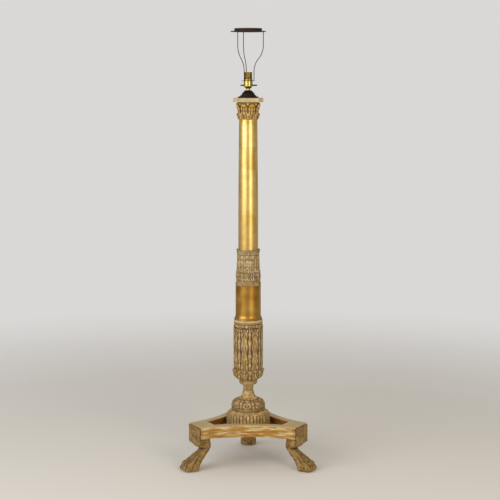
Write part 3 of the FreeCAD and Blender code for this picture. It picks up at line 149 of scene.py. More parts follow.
def leaf(spine, half_width, lobes, thickness, notch, slant=0.06, back=1.5, foot=0.72):
    """Loops of one carved leaf that faces +X, with its foot at the start of the spine.

    Across the leaf u runs from -1 to 1, and along it v from 0 at the foot to 1 at the tip. Its
    half width is an envelope that rounds off at the tip as the root of 1 - v^5, with a half-round
    lobe over each step of v, and its points slip towards the tip as u grows, so that the lobes
    slant. Its height is a crown 1 - 0.4 u^2, with three ridges along the leaf that follow a cosine
    of u and waver with v, a fold and two veins over each lobe, a midrib, and a shallow eye at the
    root of each notch.
    """
    v = np.linspace(0, 1, 10 * lobes + 8)[:, None]
    u = np.linspace(-1, 1, 23)[None, :]
    reach = np.abs(u)
    phase = v * lobes
    envelope = (foot + (1 - foot) * np.sin(math.pi * np.minimum(v / 0.8, 1))) * np.sqrt(1 - v ** 5)
    scallop = half_round(phase) ** 0.7
    fade = smooth_step(v, 0, 0.08)
    width = half_width * np.maximum(envelope * (1 - notch * fade * (1 - scallop)), 0.03)
    along = v + slant * reach ** 1.5 * 4 * v * (1 - v)
    place = np.linspace(0, 1, len(spine))
    normal = outward(spine)
    radius, height = (np.interp(along, place, spine[:, column]) for column in (0, 1))
    lean, lift = (np.interp(along, place, normal[:, column]) for column in (0, 1))
    fold = 0.5 - 0.5 * np.cos(2 * math.pi * phase)
    side = smooth_step(reach, 0.1, 0.45)
    midrib = np.exp(-(u / 0.09) ** 2)
    ridge = 0.5 + 0.5 * np.cos(3 * math.pi * (reach + 0.07 * np.sin(2 * math.pi * phase)))
    eye = np.exp(-(fold / 0.2) ** 2) * np.exp(-((reach - 0.62) / 0.13) ** 2) * fade
    edge = smooth_step(reach, 0.8, 1)
    vein = (0.5 + 0.5 * np.cos(4 * math.pi * (phase + 0.6 * reach))) * side * (1 - edge)
    crown = 1 - 0.4 * reach ** 2
    relief = thickness * (crown + 0.42 * (fold - 0.6) * side + 0.15 * midrib + 0.5 * (ridge - 0.7)
                          - 0.25 * eye - 0.35 * edge + 0.08 * vein)
    # The recess paints shade, with wax, into the folds, the grooves between the ridges, the eyes and the
    # edges; the back of the leaf is all recess, painted shade under it.
    recess = np.clip(0.45 * (1 - fold) ** 1.6 * side + 0.95 * (1 - ridge) ** 1.7 + 0.25 * eye
                     + 0.6 * edge - 0.12 * vein - 0.2 * midrib, 0, 1)
    turn = u * width / radius
    front = around(radius + relief * lean, turn, height + relief * lift)
    rear = around(radius - back * lean, turn, height - back * lift)
    loops = np.concatenate([front, rear[:, ::-1]], axis=1)
    marks = np.concatenate([recess, np.ones_like(recess)], axis=1)
    return loops, marks


def curl(radius, level, half_width, thickness):
    """Loops of the rolled tip of a leaf that faces +X: an ellipsoid across the leaf."""
    return ball((radius, 0, level), (thickness, half_width, thickness * 1.1), rows=20)


def tube(path, thickness, sides=16):
    """Loops round a path of points: circles square to it, of one radius or of one for each point.

    Each circle is turned from the one before by no more than the path's own bend, because its
    first direction is the level one across the path.
    """
    path = np.asarray(path, float)
    tangent = np.gradient(path, axis=0)
    tangent /= np.linalg.norm(tangent, axis=1)[:, None]
    guide = np.where(np.abs(tangent[:, 2:]) > 0.9, [[0.0, 1.0, 0.0]], [[0.0, 0.0, 1.0]])
    across = np.cross(tangent, guide)
    across /= np.linalg.norm(across, axis=1)[:, None]
    upward = np.cross(across, tangent)
    angle = np.linspace(0, 2 * math.pi, sides, endpoint=False)
    radius = np.broadcast_to(thickness, (len(path),))[:, None, None]
    sine, cosine = np.sin(angle)[None, :, None], np.cos(angle)[None, :, None]
    loops = path[:, None] + radius * (cosine * across[:, None] + sine * upward[:, None])
    return loops, np.zeros(loops.shape[:2])


def ball(centre, radii, rows=24, columns=32):
    """Loops of an ellipsoid: the radii times a unit sphere by latitude and longitude."""
    latitude = np.linspace(-math.pi / 2, math.pi / 2, rows)[1:-1, None]
    longitude = np.linspace(0, 2 * math.pi, columns, endpoint=False)[None, :]
    unit = around(np.cos(latitude), longitude, np.sin(latitude))
    return np.asarray(centre) + unit * np.asarray(radii), np.zeros(unit.shape[:2])


def spun(loops, angle):
    """The loops turned about the column's axis."""
    grid, marks = loops
    x, y, z = np.moveaxis(grid, -1, 0)
    sine, cosine = math.sin(angle), math.cos(angle)
    return np.stack([x * cosine - y * sine, x * sine + y * cosine, z], axis=-1), marks


def raised(loops, level):
    """The loops lifted to a level."""
    return loops[0] + [0, 0, level], loops[1]


def closed_faces(grid):
    """Quads between the loops of a grid and a fan of triangles over each end, facing outwards.

    The sum of the faces' signed tetrahedra is the volume, and where it is negative every face is
    turned round.
    """
    rows, columns = grid.shape[:2]
    here = np.arange(columns)
    ahead = (here + 1) % columns
    start = np.arange(rows - 1)[:, None] * columns
    quads = np.stack([start + here, start + ahead, start + columns + ahead, start + columns + here], -1)
    quads = quads.reshape(-1, 4)
    last = (rows - 1) * columns
    foot = np.stack([np.full(columns, rows * columns), ahead, here], axis=1)
    head = np.stack([np.full(columns, rows * columns + 1), last + here, last + ahead], axis=1)
    fans = np.vstack([foot, head])
    points = np.vstack([grid.reshape(-1, 3), grid[0].mean(0), grid[-1].mean(0)])
    triangles = np.vstack([quads[:, [0, 1, 2]], quads[:, [0, 2, 3]], fans])
    corners = points[triangles]
    volume = np.einsum("ij,ij->", corners[:, 0], np.cross(corners[:, 1], corners[:, 2]))
    if volume < 0:
        quads = quads[:, ::-1]
        fans = fans[:, ::-1]
    return points, quads, fans


def write_mesh(name, points, quads, triangles, marks):
    """A mesh in metres from arrays in millimetres, with its recess kept as an attribute."""
    mesh = bpy.data.meshes.new(name)
    corners = np.concatenate([quads.ravel(), triangles.ravel()]).astype(np.int32)
    sizes = np.concatenate([np.full(len(quads), 4), np.full(len(triangles), 3)])
    starts = np.concatenate([[0], np.cumsum(sizes)[:-1]]).astype(np.int32)
    mesh.vertices.add(len(points))
    mesh.vertices.foreach_set("co", (points * MM).astype(np.float32).ravel())
    mesh.loops.add(len(corners))
    mesh.loops.foreach_set("vertex_index", corners)
    mesh.polygons.add(len(sizes))
    mesh.polygons.foreach_set("loop_start", starts)
    mesh.update(calc_edges=True)
    mesh.validate()
    mesh.attributes.new("recess", "FLOAT", "POINT").data.foreach_set("value", marks.astype(np.float32))
    return mesh


def joined(shells):
    """The points, quads, triangles and recess of several closed shells, as arrays of one mesh."""
    points, quads, triangles, marks = [], [], [], []
    count = 0
    for grid, recess in shells:
        shell_points, shell_quads, shell_fans = closed_faces(grid)
        points.append(shell_points)
        quads.append(shell_quads + count)
        triangles.append(shell_fans + count)
        marks.append(np.concatenate([recess.ravel(), [recess[0].mean(), recess[-1].mean()]]))
        count += len(shell_points)
    return np.vstack(points), np.vstack(quads), np.vstack(triangles), np.concatenate(marks)


def make_piece(name, shells, material, node):
    """One finished piece: its shells, lifted to the foot of the node that the piece stands for."""
    level = level_of(node)
    mesh = write_mesh(name, *joined([raised(shell, level) for shell in shells]))
    finish_piece(name, mesh, material, node)


def finish_piece(name, mesh, material, node, crease=40):
    """Shades a mesh smooth but for its creases, and puts it in a node's place on the lamp's body."""
    mesh.shade_smooth()
    mesh.set_sharp_from_angle(angle=math.radians(crease))
    mesh.materials.append(bpy.data.materials[material])
    piece = bpy.data.objects.new(name, mesh)
    bpy.context.scene.collection.objects.link(piece)
    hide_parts(node)
    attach(piece, "lamp")


def level_of(node):
    """The level of a node's foot in millimetres."""
    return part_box(node)[0].z / MM


def height_of(node):
    """The height of a node in millimetres."""
    low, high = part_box(node)
    return (high.z - low.z) / MM


# Materials

def add(tree, kind, inputs=None, **settings):
    """Adds a node: its properties by name, and its inputs by name or number, set or linked."""
    node = tree.nodes.new(kind)
    for name, value in settings.items():
        setattr(node, name, value)
    for name, value in (inputs or {}).items():
        if isinstance(value, bpy.types.NodeSocket):
            tree.links.new(value, node.inputs[name])
        else:
            node.inputs[name].default_value = value
    return node


def new_material(name):
    """An empty node material with its shader and output."""
    material = bpy.data.materials.new(name)
    material.use_nodes = True
    tree = material.node_tree
    tree.nodes.clear()
    shader = add(tree, "ShaderNodeBsdfPrincipled")
    add(tree, "ShaderNodeOutputMaterial", {"Surface": shader.outputs[0]})
    return tree, shader


def per_metre(millimetres):
    """The scale of a pattern whose features are that long, on coordinates in metres."""
    return 1000 / millimetres


def make_leaf_gilding(name, gold, toned, bole, sheet, roughness, wear):
    """Gold leaf laid in sheets over red clay and burnished with a stone.

    The metal is warm and bright, the sheets differ a little in tone, and the clay shows through
    where hands and dusters rubbed the leaf away.
    """
    tree, shader = new_material(name)
    place = add(tree, "ShaderNodeTexCoord").outputs["Object"]
    sheets = add(tree, "ShaderNodeTexVoronoi", {"Vector": place, "Scale": per_metre(sheet),
                                                "Randomness": 0.35}, distance="CHEBYCHEV").outputs["Color"]
    tone = add(tree, "ShaderNodeSeparateColor", {0: sheets}).outputs[0]
    cloud = add(tree, "ShaderNodeTexNoise", {"Vector": place, "Scale": per_metre(45),
                                             "Detail": 6.0}).outputs["Fac"]
    mixed = add(tree, "ShaderNodeMath", {0: tone, 1: 0.35, 2: cloud}, operation="MULTIPLY_ADD").outputs[0]
    shade = add(tree, "ShaderNodeMapRange", {"Value": mixed, "From Min": 0.4, "From Max": 1.05}).outputs[0]
    leafed = add(tree, "ShaderNodeMix", {"Factor": shade, 6: gold, 7: toned}, data_type="RGBA").outputs[2]
    rubbed = add(tree, "ShaderNodeTexNoise", {"Vector": place, "Scale": per_metre(22), "Detail": 9.0,
                                              "Roughness": 0.72}).outputs["Fac"]
    bare = add(tree, "ShaderNodeMapRange", {"Value": rubbed, "From Min": wear,
                                            "From Max": wear + 0.05}).outputs[0]
    colour = add(tree, "ShaderNodeMix", {"Factor": bare, 6: leafed, 7: bole}, data_type="RGBA").outputs[2]
    tree.links.new(colour, shader.inputs["Base Color"])
    metal = add(tree, "ShaderNodeMath", {0: 1.0, 1: bare}, operation="SUBTRACT").outputs[0]
    tree.links.new(metal, shader.inputs["Metallic"])
    fine = add(tree, "ShaderNodeTexNoise", {"Vector": place, "Scale": per_metre(6),
                                            "Detail": 5.0}).outputs["Fac"]
    dull = add(tree, "ShaderNodeMapRange", {"Value": fine, "To Min": roughness - 0.05,
                                            "To Max": roughness + 0.12}).outputs[0]
    tree.links.new(dull, shader.inputs["Roughness"])
    bump = add(tree, "ShaderNodeBump", {"Strength": 0.25, "Distance": 0.0004, "Height": cloud}).outputs[0]
    tree.links.new(bump, shader.inputs["Normal"])


def make_worn_gilding(name, light, shade, gold, dark, gold_share, patch=38):
    """Old gilding over gesso on carved wood, rubbed back and darkened.

    The gesso gives a dry cream with tan clouds and patches of dull gold are left on it. Where the
    recess attribute marks hollows, grooves, grounds and the backs of leaves, the colour goes towards
    the dark one: brown wax and dust together with painted shade.
    """
    tree, shader = new_material(name)
    place = add(tree, "ShaderNodeTexCoord").outputs["Object"]
    cloud = add(tree, "ShaderNodeTexNoise", {"Vector": place, "Scale": per_metre(patch), "Detail": 7.0,
                                             "Roughness": 0.62}).outputs["Fac"]
    speck = add(tree, "ShaderNodeTexNoise", {"Vector": place, "Scale": per_metre(13), "Detail": 7.0,
                                             "Roughness": 0.7}).outputs["Fac"]
    clouded = add(tree, "ShaderNodeMapRange", {"Value": speck, "From Min": 0.4, "From Max": 0.6}).outputs[0]
    ground = add(tree, "ShaderNodeMix", {"Factor": clouded, 6: light, 7: shade},
                 data_type="RGBA").outputs[2]
    uneven = add(tree, "ShaderNodeMath", {0: speck, 1: 0.4, 2: cloud}, operation="MULTIPLY_ADD").outputs[0]
    edge = 0.98 - 0.5 * gold_share
    gilt = add(tree, "ShaderNodeMapRange", {"Value": uneven, "From Min": edge - 0.1,
                                            "From Max": edge + 0.06}).outputs[0]
    colour = add(tree, "ShaderNodeMix", {"Factor": gilt, 6: ground, 7: gold}, data_type="RGBA").outputs[2]
    # Painted shade with brown wax: the recess attribute darkens the carving's hollows and grounds.
    recess = add(tree, "ShaderNodeAttribute", attribute_name="recess").outputs["Fac"]
    wax_and_shade = add(tree, "ShaderNodeMath", {0: speck, 1: -0.35, 2: recess},
                 operation="MULTIPLY_ADD").outputs[0]
    deep = add(tree, "ShaderNodeMapRange",
               {"Value": wax_and_shade, "From Min": -0.05, "From Max": 0.78}).outputs[0]
    colour = add(tree, "ShaderNodeMix", {"Factor": deep, 6: colour, 7: dark}, data_type="RGBA").outputs[2]
    tree.links.new(colour, shader.inputs["Base Color"])
    open_part = add(tree, "ShaderNodeMath", {0: 0.75, 1: deep}, operation="SUBTRACT").outputs[0]
    metal = add(tree, "ShaderNodeMath", {0: gilt, 1: open_part}, operation="MULTIPLY",
                use_clamp=True).outputs[0]
    tree.links.new(metal, shader.inputs["Metallic"])
    dull = add(tree, "ShaderNodeMapRange", {"Value": gilt, "To Min": 0.62, "To Max": 0.4}).outputs[0]
    tree.links.new(dull, shader.inputs["Roughness"])
    rough = add(tree, "ShaderNodeBump", {"Strength": 0.5, "Distance": 0.0005, "Height": speck}).outputs[0]
    tree.links.new(rough, shader.inputs["Normal"])


# The pale top edge is a painted highlight, and the brown corners are painted shade.
HIGHLIGHT_EDGE = (0.1685, 0.1708)  # levels in metres over which the rails' top edge turns pale
SHADED_CORNER = (0.22, 0.229)  # metres from the axis over which the corner blocks turn brown


def make_streaked_gilding(name, gold, cream, amber, brown, top):
    """Gilding on the flat rails, laid and rubbed along their length.

    Long streaks of gold, bare cream ground and amber varnish follow the grain, with thin brown
    scratches between them. The top and its edge are paled as a painted highlight, the sides that
    face the column keep their brown tone, and the outermost corners are browned as painted shade.
    """
    tree, shader = new_material(name)
    place = add(tree, "ShaderNodeTexCoord").outputs["Object"]
    along = add(tree, "ShaderNodeMapping", {"Vector": place, "Scale": (1, 1, 8)}).outputs[0]
    streak = add(tree, "ShaderNodeTexNoise", {"Vector": along, "Scale": per_metre(62), "Detail": 6.0,
                                              "Roughness": 0.65}).outputs["Fac"]
    bare = add(tree, "ShaderNodeMapRange", {"Value": streak, "From Min": 0.46, "From Max": 0.6}).outputs[0]
    colour = add(tree, "ShaderNodeMix", {"Factor": bare, 6: gold, 7: cream}, data_type="RGBA").outputs[2]
    other = add(tree, "ShaderNodeTexNoise", {"Vector": along, "Scale": per_metre(80), "Detail": 5.0,
                                             "W": 4.0}, noise_dimensions="4D").outputs["Fac"]
    varnish = add(tree, "ShaderNodeMapRange", {"Value": other, "From Min": 0.5, "From Max": 0.62,
                                               "To Max": 0.85}).outputs[0]
    colour = add(tree, "ShaderNodeMix", {"Factor": varnish, 6: colour, 7: amber},
                 data_type="RGBA").outputs[2]
    fine = add(tree, "ShaderNodeMapping", {"Vector": place, "Scale": (1, 1, 22)}).outputs[0]
    scratch = add(tree, "ShaderNodeTexNoise", {"Vector": fine, "Scale": per_metre(60), "Detail": 7.0,
                                               "Roughness": 0.7}).outputs["Fac"]
    scratched = add(tree, "ShaderNodeMapRange", {"Value": scratch, "From Min": 0.56, "From Max": 0.7,
                                                 "To Max": 0.7}).outputs[0]
    colour = add(tree, "ShaderNodeMix", {"Factor": scratched, 6: colour, 7: brown},
                 data_type="RGBA").outputs[2]
    level = add(tree, "ShaderNodeSeparateXYZ", {0: place}).outputs[2]
    # Painted highlight: the top face and its edge are paled.
    worn = add(tree, "ShaderNodeMath", {0: streak, 1: 0.004, 2: level}, operation="MULTIPLY_ADD").outputs[0]
    pale = add(tree, "ShaderNodeMapRange", {"Value": worn, "From Min": HIGHLIGHT_EDGE[0],
                                            "From Max": HIGHLIGHT_EDGE[1], "To Max": 0.8}).outputs[0]
    colour = add(tree, "ShaderNodeMix", {"Factor": pale, 6: colour, 7: top}, data_type="RGBA").outputs[2]
    surface = add(tree, "ShaderNodeNewGeometry")
    outwards = add(tree, "ShaderNodeVectorMath", {0: place, 1: (1, 1, 0)}, operation="MULTIPLY").outputs[0]
    facing = add(tree, "ShaderNodeVectorMath", {0: surface.outputs["Normal"], 1: outwards},
                 operation="DOT_PRODUCT").outputs["Value"]
    inner = add(tree, "ShaderNodeMapRange", {"Value": facing, "From Min": 0.0, "From Max": -0.05,
                                             "To Max": 0.8}).outputs[0]
    colour = add(tree, "ShaderNodeMix", {"Factor": inner, 6: colour, 7: brown}, data_type="RGBA").outputs[2]
    away = add(tree, "ShaderNodeVectorMath", {0: outwards}, operation="LENGTH").outputs["Value"]
    # Painted shade: the outermost corner faces turn brown, except on the top.
    corner = add(tree, "ShaderNodeMapRange", {"Value": away, "From Min": SHADED_CORNER[0],
                                              "From Max": SHADED_CORNER[1], "To Max": 0.4}).outputs[0]
    darker = add(tree, "ShaderNodeMapRange", {"Value": pale, "From Max": 0.8, "To Min": 1.0,
                                              "To Max": 0.0}).outputs[0]
    corner = add(tree, "ShaderNodeMath", {0: corner, 1: darker}, operation="MULTIPLY").outputs[0]
    colour = add(tree, "ShaderNodeMix", {"Factor": corner, 6: colour, 7: brown},
                 data_type="RGBA").outputs[2]
    tree.links.new(colour, shader.inputs["Base Color"])
    shader.inputs["Metallic"].default_value = 0.25
    dull = add(tree, "ShaderNodeMapRange", {"Value": streak, "To Min": 0.35, "To Max": 0.6}).outputs[0]
    tree.links.new(dull, shader.inputs["Roughness"])
    rough = add(tree, "ShaderNodeBump", {"Strength": 0.4, "Distance": 0.0004, "Height": scratch}).outputs[0]
    tree.links.new(rough, shader.inputs["Normal"])


def make_metal(name, bright, dull, roughness, spot, metallic=1.0):
    """Cast, spun or drawn metal with a thin tarnish that gathers in clouds of about one spot's size."""
    tree, shader = new_material(name)
    place = add(tree, "ShaderNodeTexCoord").outputs["Object"]
    cloud = add(tree, "ShaderNodeTexNoise", {"Vector": place, "Scale": per_metre(spot), "Detail": 6.0,
                                             "Roughness": 0.65}).outputs["Fac"]
    patch = add(tree, "ShaderNodeMapRange", {"Value": cloud, "From Min": 0.35, "From Max": 0.7}).outputs[0]
    colour = add(tree, "ShaderNodeMix", {"Factor": patch, 6: bright, 7: dull}, data_type="RGBA").outputs[2]
    tree.links.new(colour, shader.inputs["Base Color"])
    shader.inputs["Metallic"].default_value = metallic
    worn = add(tree, "ShaderNodeMapRange", {"Value": cloud, "From Min": 0.3, "From Max": 0.7,
                                            "To Min": roughness, "To Max": roughness + 0.18}).outputs[0]
    tree.links.new(worn, shader.inputs["Roughness"])
    bump = add(tree, "ShaderNodeBump", {"Strength": 0.2, "Distance": 0.0002, "Height": cloud}).outputs[0]
    tree.links.new(bump, shader.inputs["Normal"])


def make_plain(name, colour, other, roughness, grain, stretch=(1, 1, 1)):
    """Moulded, fired or sawn stuff without lustre, with the faint grain that its making leaves."""
    tree, shader = new_material(name)
    place = add(tree, "ShaderNodeTexCoord").outputs["Object"]
    place = add(tree, "ShaderNodeMapping", {"Vector": place, "Scale": stretch}).outputs[0]
    faint = add(tree, "ShaderNodeTexNoise", {"Vector": place, "Scale": per_metre(grain),
                                             "Detail": 5.0}).outputs["Fac"]
    mixed = add(tree, "ShaderNodeMix", {"Factor": faint, 6: colour, 7: other}, data_type="RGBA").outputs[2]
    tree.links.new(mixed, shader.inputs["Base Color"])
    shader.inputs["Roughness"].default_value = roughness
    bump = add(tree, "ShaderNodeBump", {"Strength": 0.3, "Distance": 0.0002, "Height": faint}).outputs[0]
    tree.links.new(bump, shader.inputs["Normal"])


# What a user may change

def colour_property(name, description, colour):
    """A colour that a user may change, from its sRGB value."""
    return FloatVectorProperty(name=name, description=description, subtype="COLOR", size=4,
                               min=0, max=1, default=linear(colour))


class FloorLampSizes(bpy.types.PropertyGroup):
    """Counts and depths of the carving."""
    gadroons: IntProperty(name="Gadroons", description="Lobes round the torus", default=38, min=8)
    gadroon_depth: FloatProperty(name="Gadroon depth", description="Depth of the valleys between them",
                                 default=2.8 * MM, subtype="DISTANCE", unit="LENGTH")
    leaves: IntProperty(name="Leaves", description="Leaves round the capital, drum and dome",
                        default=8, min=4)
    collar_leaves: IntProperty(name="Collar leaves", description="Leaves in each row of the collar",
                               default=12, min=4)
    tongues: IntProperty(name="Tongues", description="Tongues in the band over the drum", default=24, min=8)
    twists: IntProperty(name="Twists", description="Ribs of the twisted bead", default=16, min=6)
    flutes: IntProperty(name="Flutes", description="Shallow flutes round the neck", default=14, min=6)
    leaf_depth: FloatProperty(name="Leaf depth", description="Height of a leaf over its ground",
                              default=3.2 * MM, subtype="DISTANCE", unit="LENGTH")


class FloorLampColours(bpy.types.PropertyGroup):
    """Colours of the finishes."""
    gold: colour_property("Gold leaf", "Burnished gold of the shaft", "#EBCF86")
    toned_gold: colour_property("Toned gold", "Gold under its brown tone", "#CDA250")
    # The drum's gold is older and darker, and darkened further as painted shade of the lower column.
    drum_gold: colour_property("Drum gold", "Older gold of the drum", "#C79D4E")
    drum_toned: colour_property("Drum tone", "Darkest gold of the drum", "#875718")
    bole: colour_property("Bole", "Red clay under the leaf", "#8A3A1C")
    gesso: colour_property("Gesso", "Rubbed cream of the carving", "#D8C598")
    gesso_shade: colour_property("Gesso shade", "Darker clouds of the carving", "#987C4C")
    old_gold: colour_property("Old gold", "Dull gold left on the carving", "#B08A3C")
    # The recess colour paints shade into the carving's hollows, along with the brown wax there.
    recess: colour_property("Recess", "Brown wax in the hollows", "#4A3218")
    cream: colour_property("Cream", "Cream paint of the abacus and the fillet", "#CABD94")
    bronze: colour_property("Bronze", "Dark patina of the cap", "#2C1C17")
    brass: colour_property("Brass", "Lacquered brass of the lampholder", "#CDBB62")
    iron: colour_property("Blackened iron", "Wire of the gallery", "#16110F")


# Pieces of the column
# The recess that these pieces carry is painted shade, with wax, in their hollows, grooves and grounds.

# How far right of the front the first leaf of each piece faces
LEAF_TURNS = {"drum": math.radians(6.5), "dome": math.radians(18), "capital": math.radians(21),
              "collar": math.radians(-5), "bowl": math.radians(6.5)}
BELL_PETALS = 16


def fan_out(count, first, shape):
    """The loops of equal shapes, evenly round the column from a first direction off the front."""
    return [spun(shape, FRONT + first + 2 * math.pi * place / count) for place in range(count)]


class FLOORLAMP_OT_gilt_column(bpy.types.Operator):
    """Turn the gilded shaft, the gilded drum and the plain mouldings"""
    bl_idname = "floor_lamp.gilt_column"
    bl_label = "Gilded shaft and drum"

    def execute(self, context):
        height = height_of("gilt_shaft")
        shaft = outline([(CORE, 0), (37.2, 0)], [(37.2, 0.5), (37.0, height * 0.3), (35.4, height * 0.72),
                                              (34, height)], [(34, height), (CORE, height)], step=6)
        make_piece("turned_shaft", [turned(shaft)], "burnished gold leaf", "gilt_shaft")
        height = height_of("gilt_drum")
        drum = outline([(CORE, 0), (52, 0)], [(52, 0), (53, 3.2), (51.2, 6.4)],
                       [(51.2, 6.4), (49, 11), (47.9, 15.5), (47.6, 20)],
                       [(47.6, 20), (47.5, height)], [(47.5, height), (CORE, height)], step=1.5)
        make_piece("turned_drum", [turned(drum)], "old and shaded gold leaf", "gilt_drum")
        ring = outline([(CORE, 0), (45.6, 0)], [(45.6, 0), (45.6, 1.6)],
                       [(45.6, 1.6), (47.6, 3), (48.4, 7.4), (47.5, 12), (45.4, 13.6)],
                       [(45.4, 13.6), (44.8, 15), (45, 18)], [(45, 18), (CORE, 18)], step=0.8)
        make_piece("turned_ring", [turned(ring, recess=0.3)], "shaded lower gilding", "ring_moulding")
        fillet = outline([(CORE, 0), (54.4, 0)],
                         [(54.4, 0), (54.4, 4.6), (53.4, 5.4), (53.4, 6), (54.6, 6.6)],
                         [(54.6, 6.6), (54.6, 9), (54.1, 11), (52.8, 13)], [(52.8, 13), (CORE, 13)],
                         step=0.8)

        def under_edge(angle, height):
            """Painted shade on the lower half of the fillet, under its groove."""
            return 0 * angle * height, 0.62 * (1 - smooth_step(height, 5.4, 6.6))

        make_piece("turned_fillet", [turned(fillet, under_edge)], "worn cream paint", "cream_fillet")
        # The cavetto is dark all over: painted shade in its hollow.
        recess = outline([(CORE, 0), (62.4, 0)], [(62.4, 0), (61, 1), (60.6, 2), (61, 3), (61.6, 4)],
                         [(61.6, 4), (CORE, 4)], step=0.6)
        make_piece("turned_cavetto", [turned(recess, recess=0.75)], "rubbed gilding", "cavetto")
        return {"FINISHED"}


class FLOORLAMP_OT_torus(bpy.types.Operator):
    """Carve the gadroons round the torus"""
    bl_idname = "floor_lamp.torus"
    bl_label = "Gadrooned torus"

    def execute(self, context):
        sizes = context.scene.floor_lamp_sizes
        depth = sizes.gadroon_depth / MM

        def gadroons(angle, height):
            """Half-round lobes in the angle, deepest at the shoulder and ending under the plain band."""
            rib = half_round(angle * sizes.gadroons / (2 * math.pi))
            ends = smooth_step(height, 4, 9) * (1 - smooth_step(height, 44.5, 48.5))
            return -depth * (1 - rib) * ends, 0.95 * (1 - rib) ** 0.6 * ends

        curve = outline([(CORE, 0), (81.5, 0)], [(81.5, 0), (83, 3), (83, 30)],
                        [(83, 30), (82.7, 36), (80.5, 42), (76.4, 47), (72.6, 50)],
                        [(72.6, 50), (71.6, 50.4), (68, 52.6), (64, 55)], [(64, 55), (CORE, 55)], step=0.9)
        shell = turned(curve, gadroons, columns=sizes.gadroons * 14)
        make_piece("carved_torus", [shell], "shaded lower gilding", "gadroon_torus")
        return {"FINISHED"}


class FLOORLAMP_OT_dome(bpy.types.Operator):
    """Carve the leaf dome and the bell over it"""
    bl_idname = "floor_lamp.dome"
    bl_label = "Leaf dome and bell"

    def execute(self, context):
        sizes = context.scene.floor_lamp_sizes
        core = outline([(CORE, 0), (64.2, 0)], [(64.2, 0), (64.4, 2.4), (64, 4.6), (62, 6)],
                       [(62, 6), (62, 18), (61, 23), (56, 29), (48, 34), (37, 37)],
                       [(37, 37), (CORE, 37.6)], step=1.2)
        shells = [turned(core, recess=0.45)]
        spine = flowing([(38, 37.4), (47, 35), (55, 30.4), (60.6, 24), (62.6, 16), (63, 9), (63.6, 7.2)],
                        60)
        front = leaf_down(spine, 23, sizes.leaf_depth / MM * 0.55, 4)
        behind = leaf_down(spine[:54], 20, sizes.leaf_depth / MM * 0.3, 3)
        turn = LEAF_TURNS["dome"]
        shells += fan_out(sizes.leaves, turn, front)
        shells += fan_out(sizes.leaves, turn + math.pi / sizes.leaves, behind)
        make_piece("carved_dome", shells, "shaded lower gilding", "leaf_dome")

        def petals(angle, height):
            """Shallow half-round petals that fade towards the neck."""
            rib = half_round(angle * BELL_PETALS / (2 * math.pi) + 0.5)
            low = 1 - smooth_step(height, 3, 20)
            return -0.9 * (1 - rib) * low, 0.5 * (1 - rib) * low

        bell = outline([(CORE, 0), (35.6, 0)], [(35.6, 0), (36.8, 1), (36.8, 2.6), (35.4, 4)],
                       [(35.4, 4), (31, 7), (26.6, 12), (23.8, 18), (22.9, 22), (22.6, 25)],
                       [(22.6, 25), (CORE, 25)], step=0.8)
        make_piece("carved_bell", [turned(bell, petals)], "shaded lower gilding", "bell")
        return {"FINISHED"}


def leaf_down(spine, half_width, thickness, lobes):
    """A leaf whose foot is at the top and whose tip hangs down, with its face still outwards."""
    loops, marks = leaf(spine, half_width, lobes=lobes, thickness=-thickness, back=-1.2, notch=0.24)
    return loops, marks


class FLOORLAMP_OT_neck(bpy.types.Operator):
    """Carve the fluted neck and the twisted bead"""
    bl_idname = "floor_lamp.neck"
    bl_label = "Neck and twisted bead"

    def execute(self, context):
        sizes = context.scene.floor_lamp_sizes

        def flutes(angle, height):
            """Shallow hollows in the angle that fade out near both ends."""
            hollow = half_round(angle * sizes.flutes / (2 * math.pi))
            ends = smooth_step(height, 1, 5) * (1 - smooth_step(height, 26, 30))
            return -0.8 * hollow * ends, 0.35 * hollow * ends

        neck = outline([(CORE, 0), (20.6, 0)], [(20.6, 0), (19.9, 3), (19.8, 16), (19.9, 28), (20.6, 31)],
                       [(20.6, 31), (CORE, 31)], step=1.2)
        make_piece("carved_neck", [turned(neck, flutes)], "shaded lower gilding", "neck")

        def twists(angle, height):
            """Half-round ribs that climb a seventh of a turn over the height of the bead."""
            rib = half_round(sizes.twists * (angle / (2 * math.pi) + height / 130))
            return -1.9 * (1 - rib), 0.95 * (1 - rib) ** 0.7

        bead = outline([(CORE, 0), (26, 0)],
                       [(26, 0), (31, 1.6), (34, 6), (34.6, 10), (33.6, 14.5), (30.6, 19)],
                       [(30.6, 19), (CORE, 19)], step=0.7)
        make_piece("twisted_bead", [turned(bead, twists, columns=256)], "shaded lower gilding", "twist_bead")
        return {"FINISHED"}


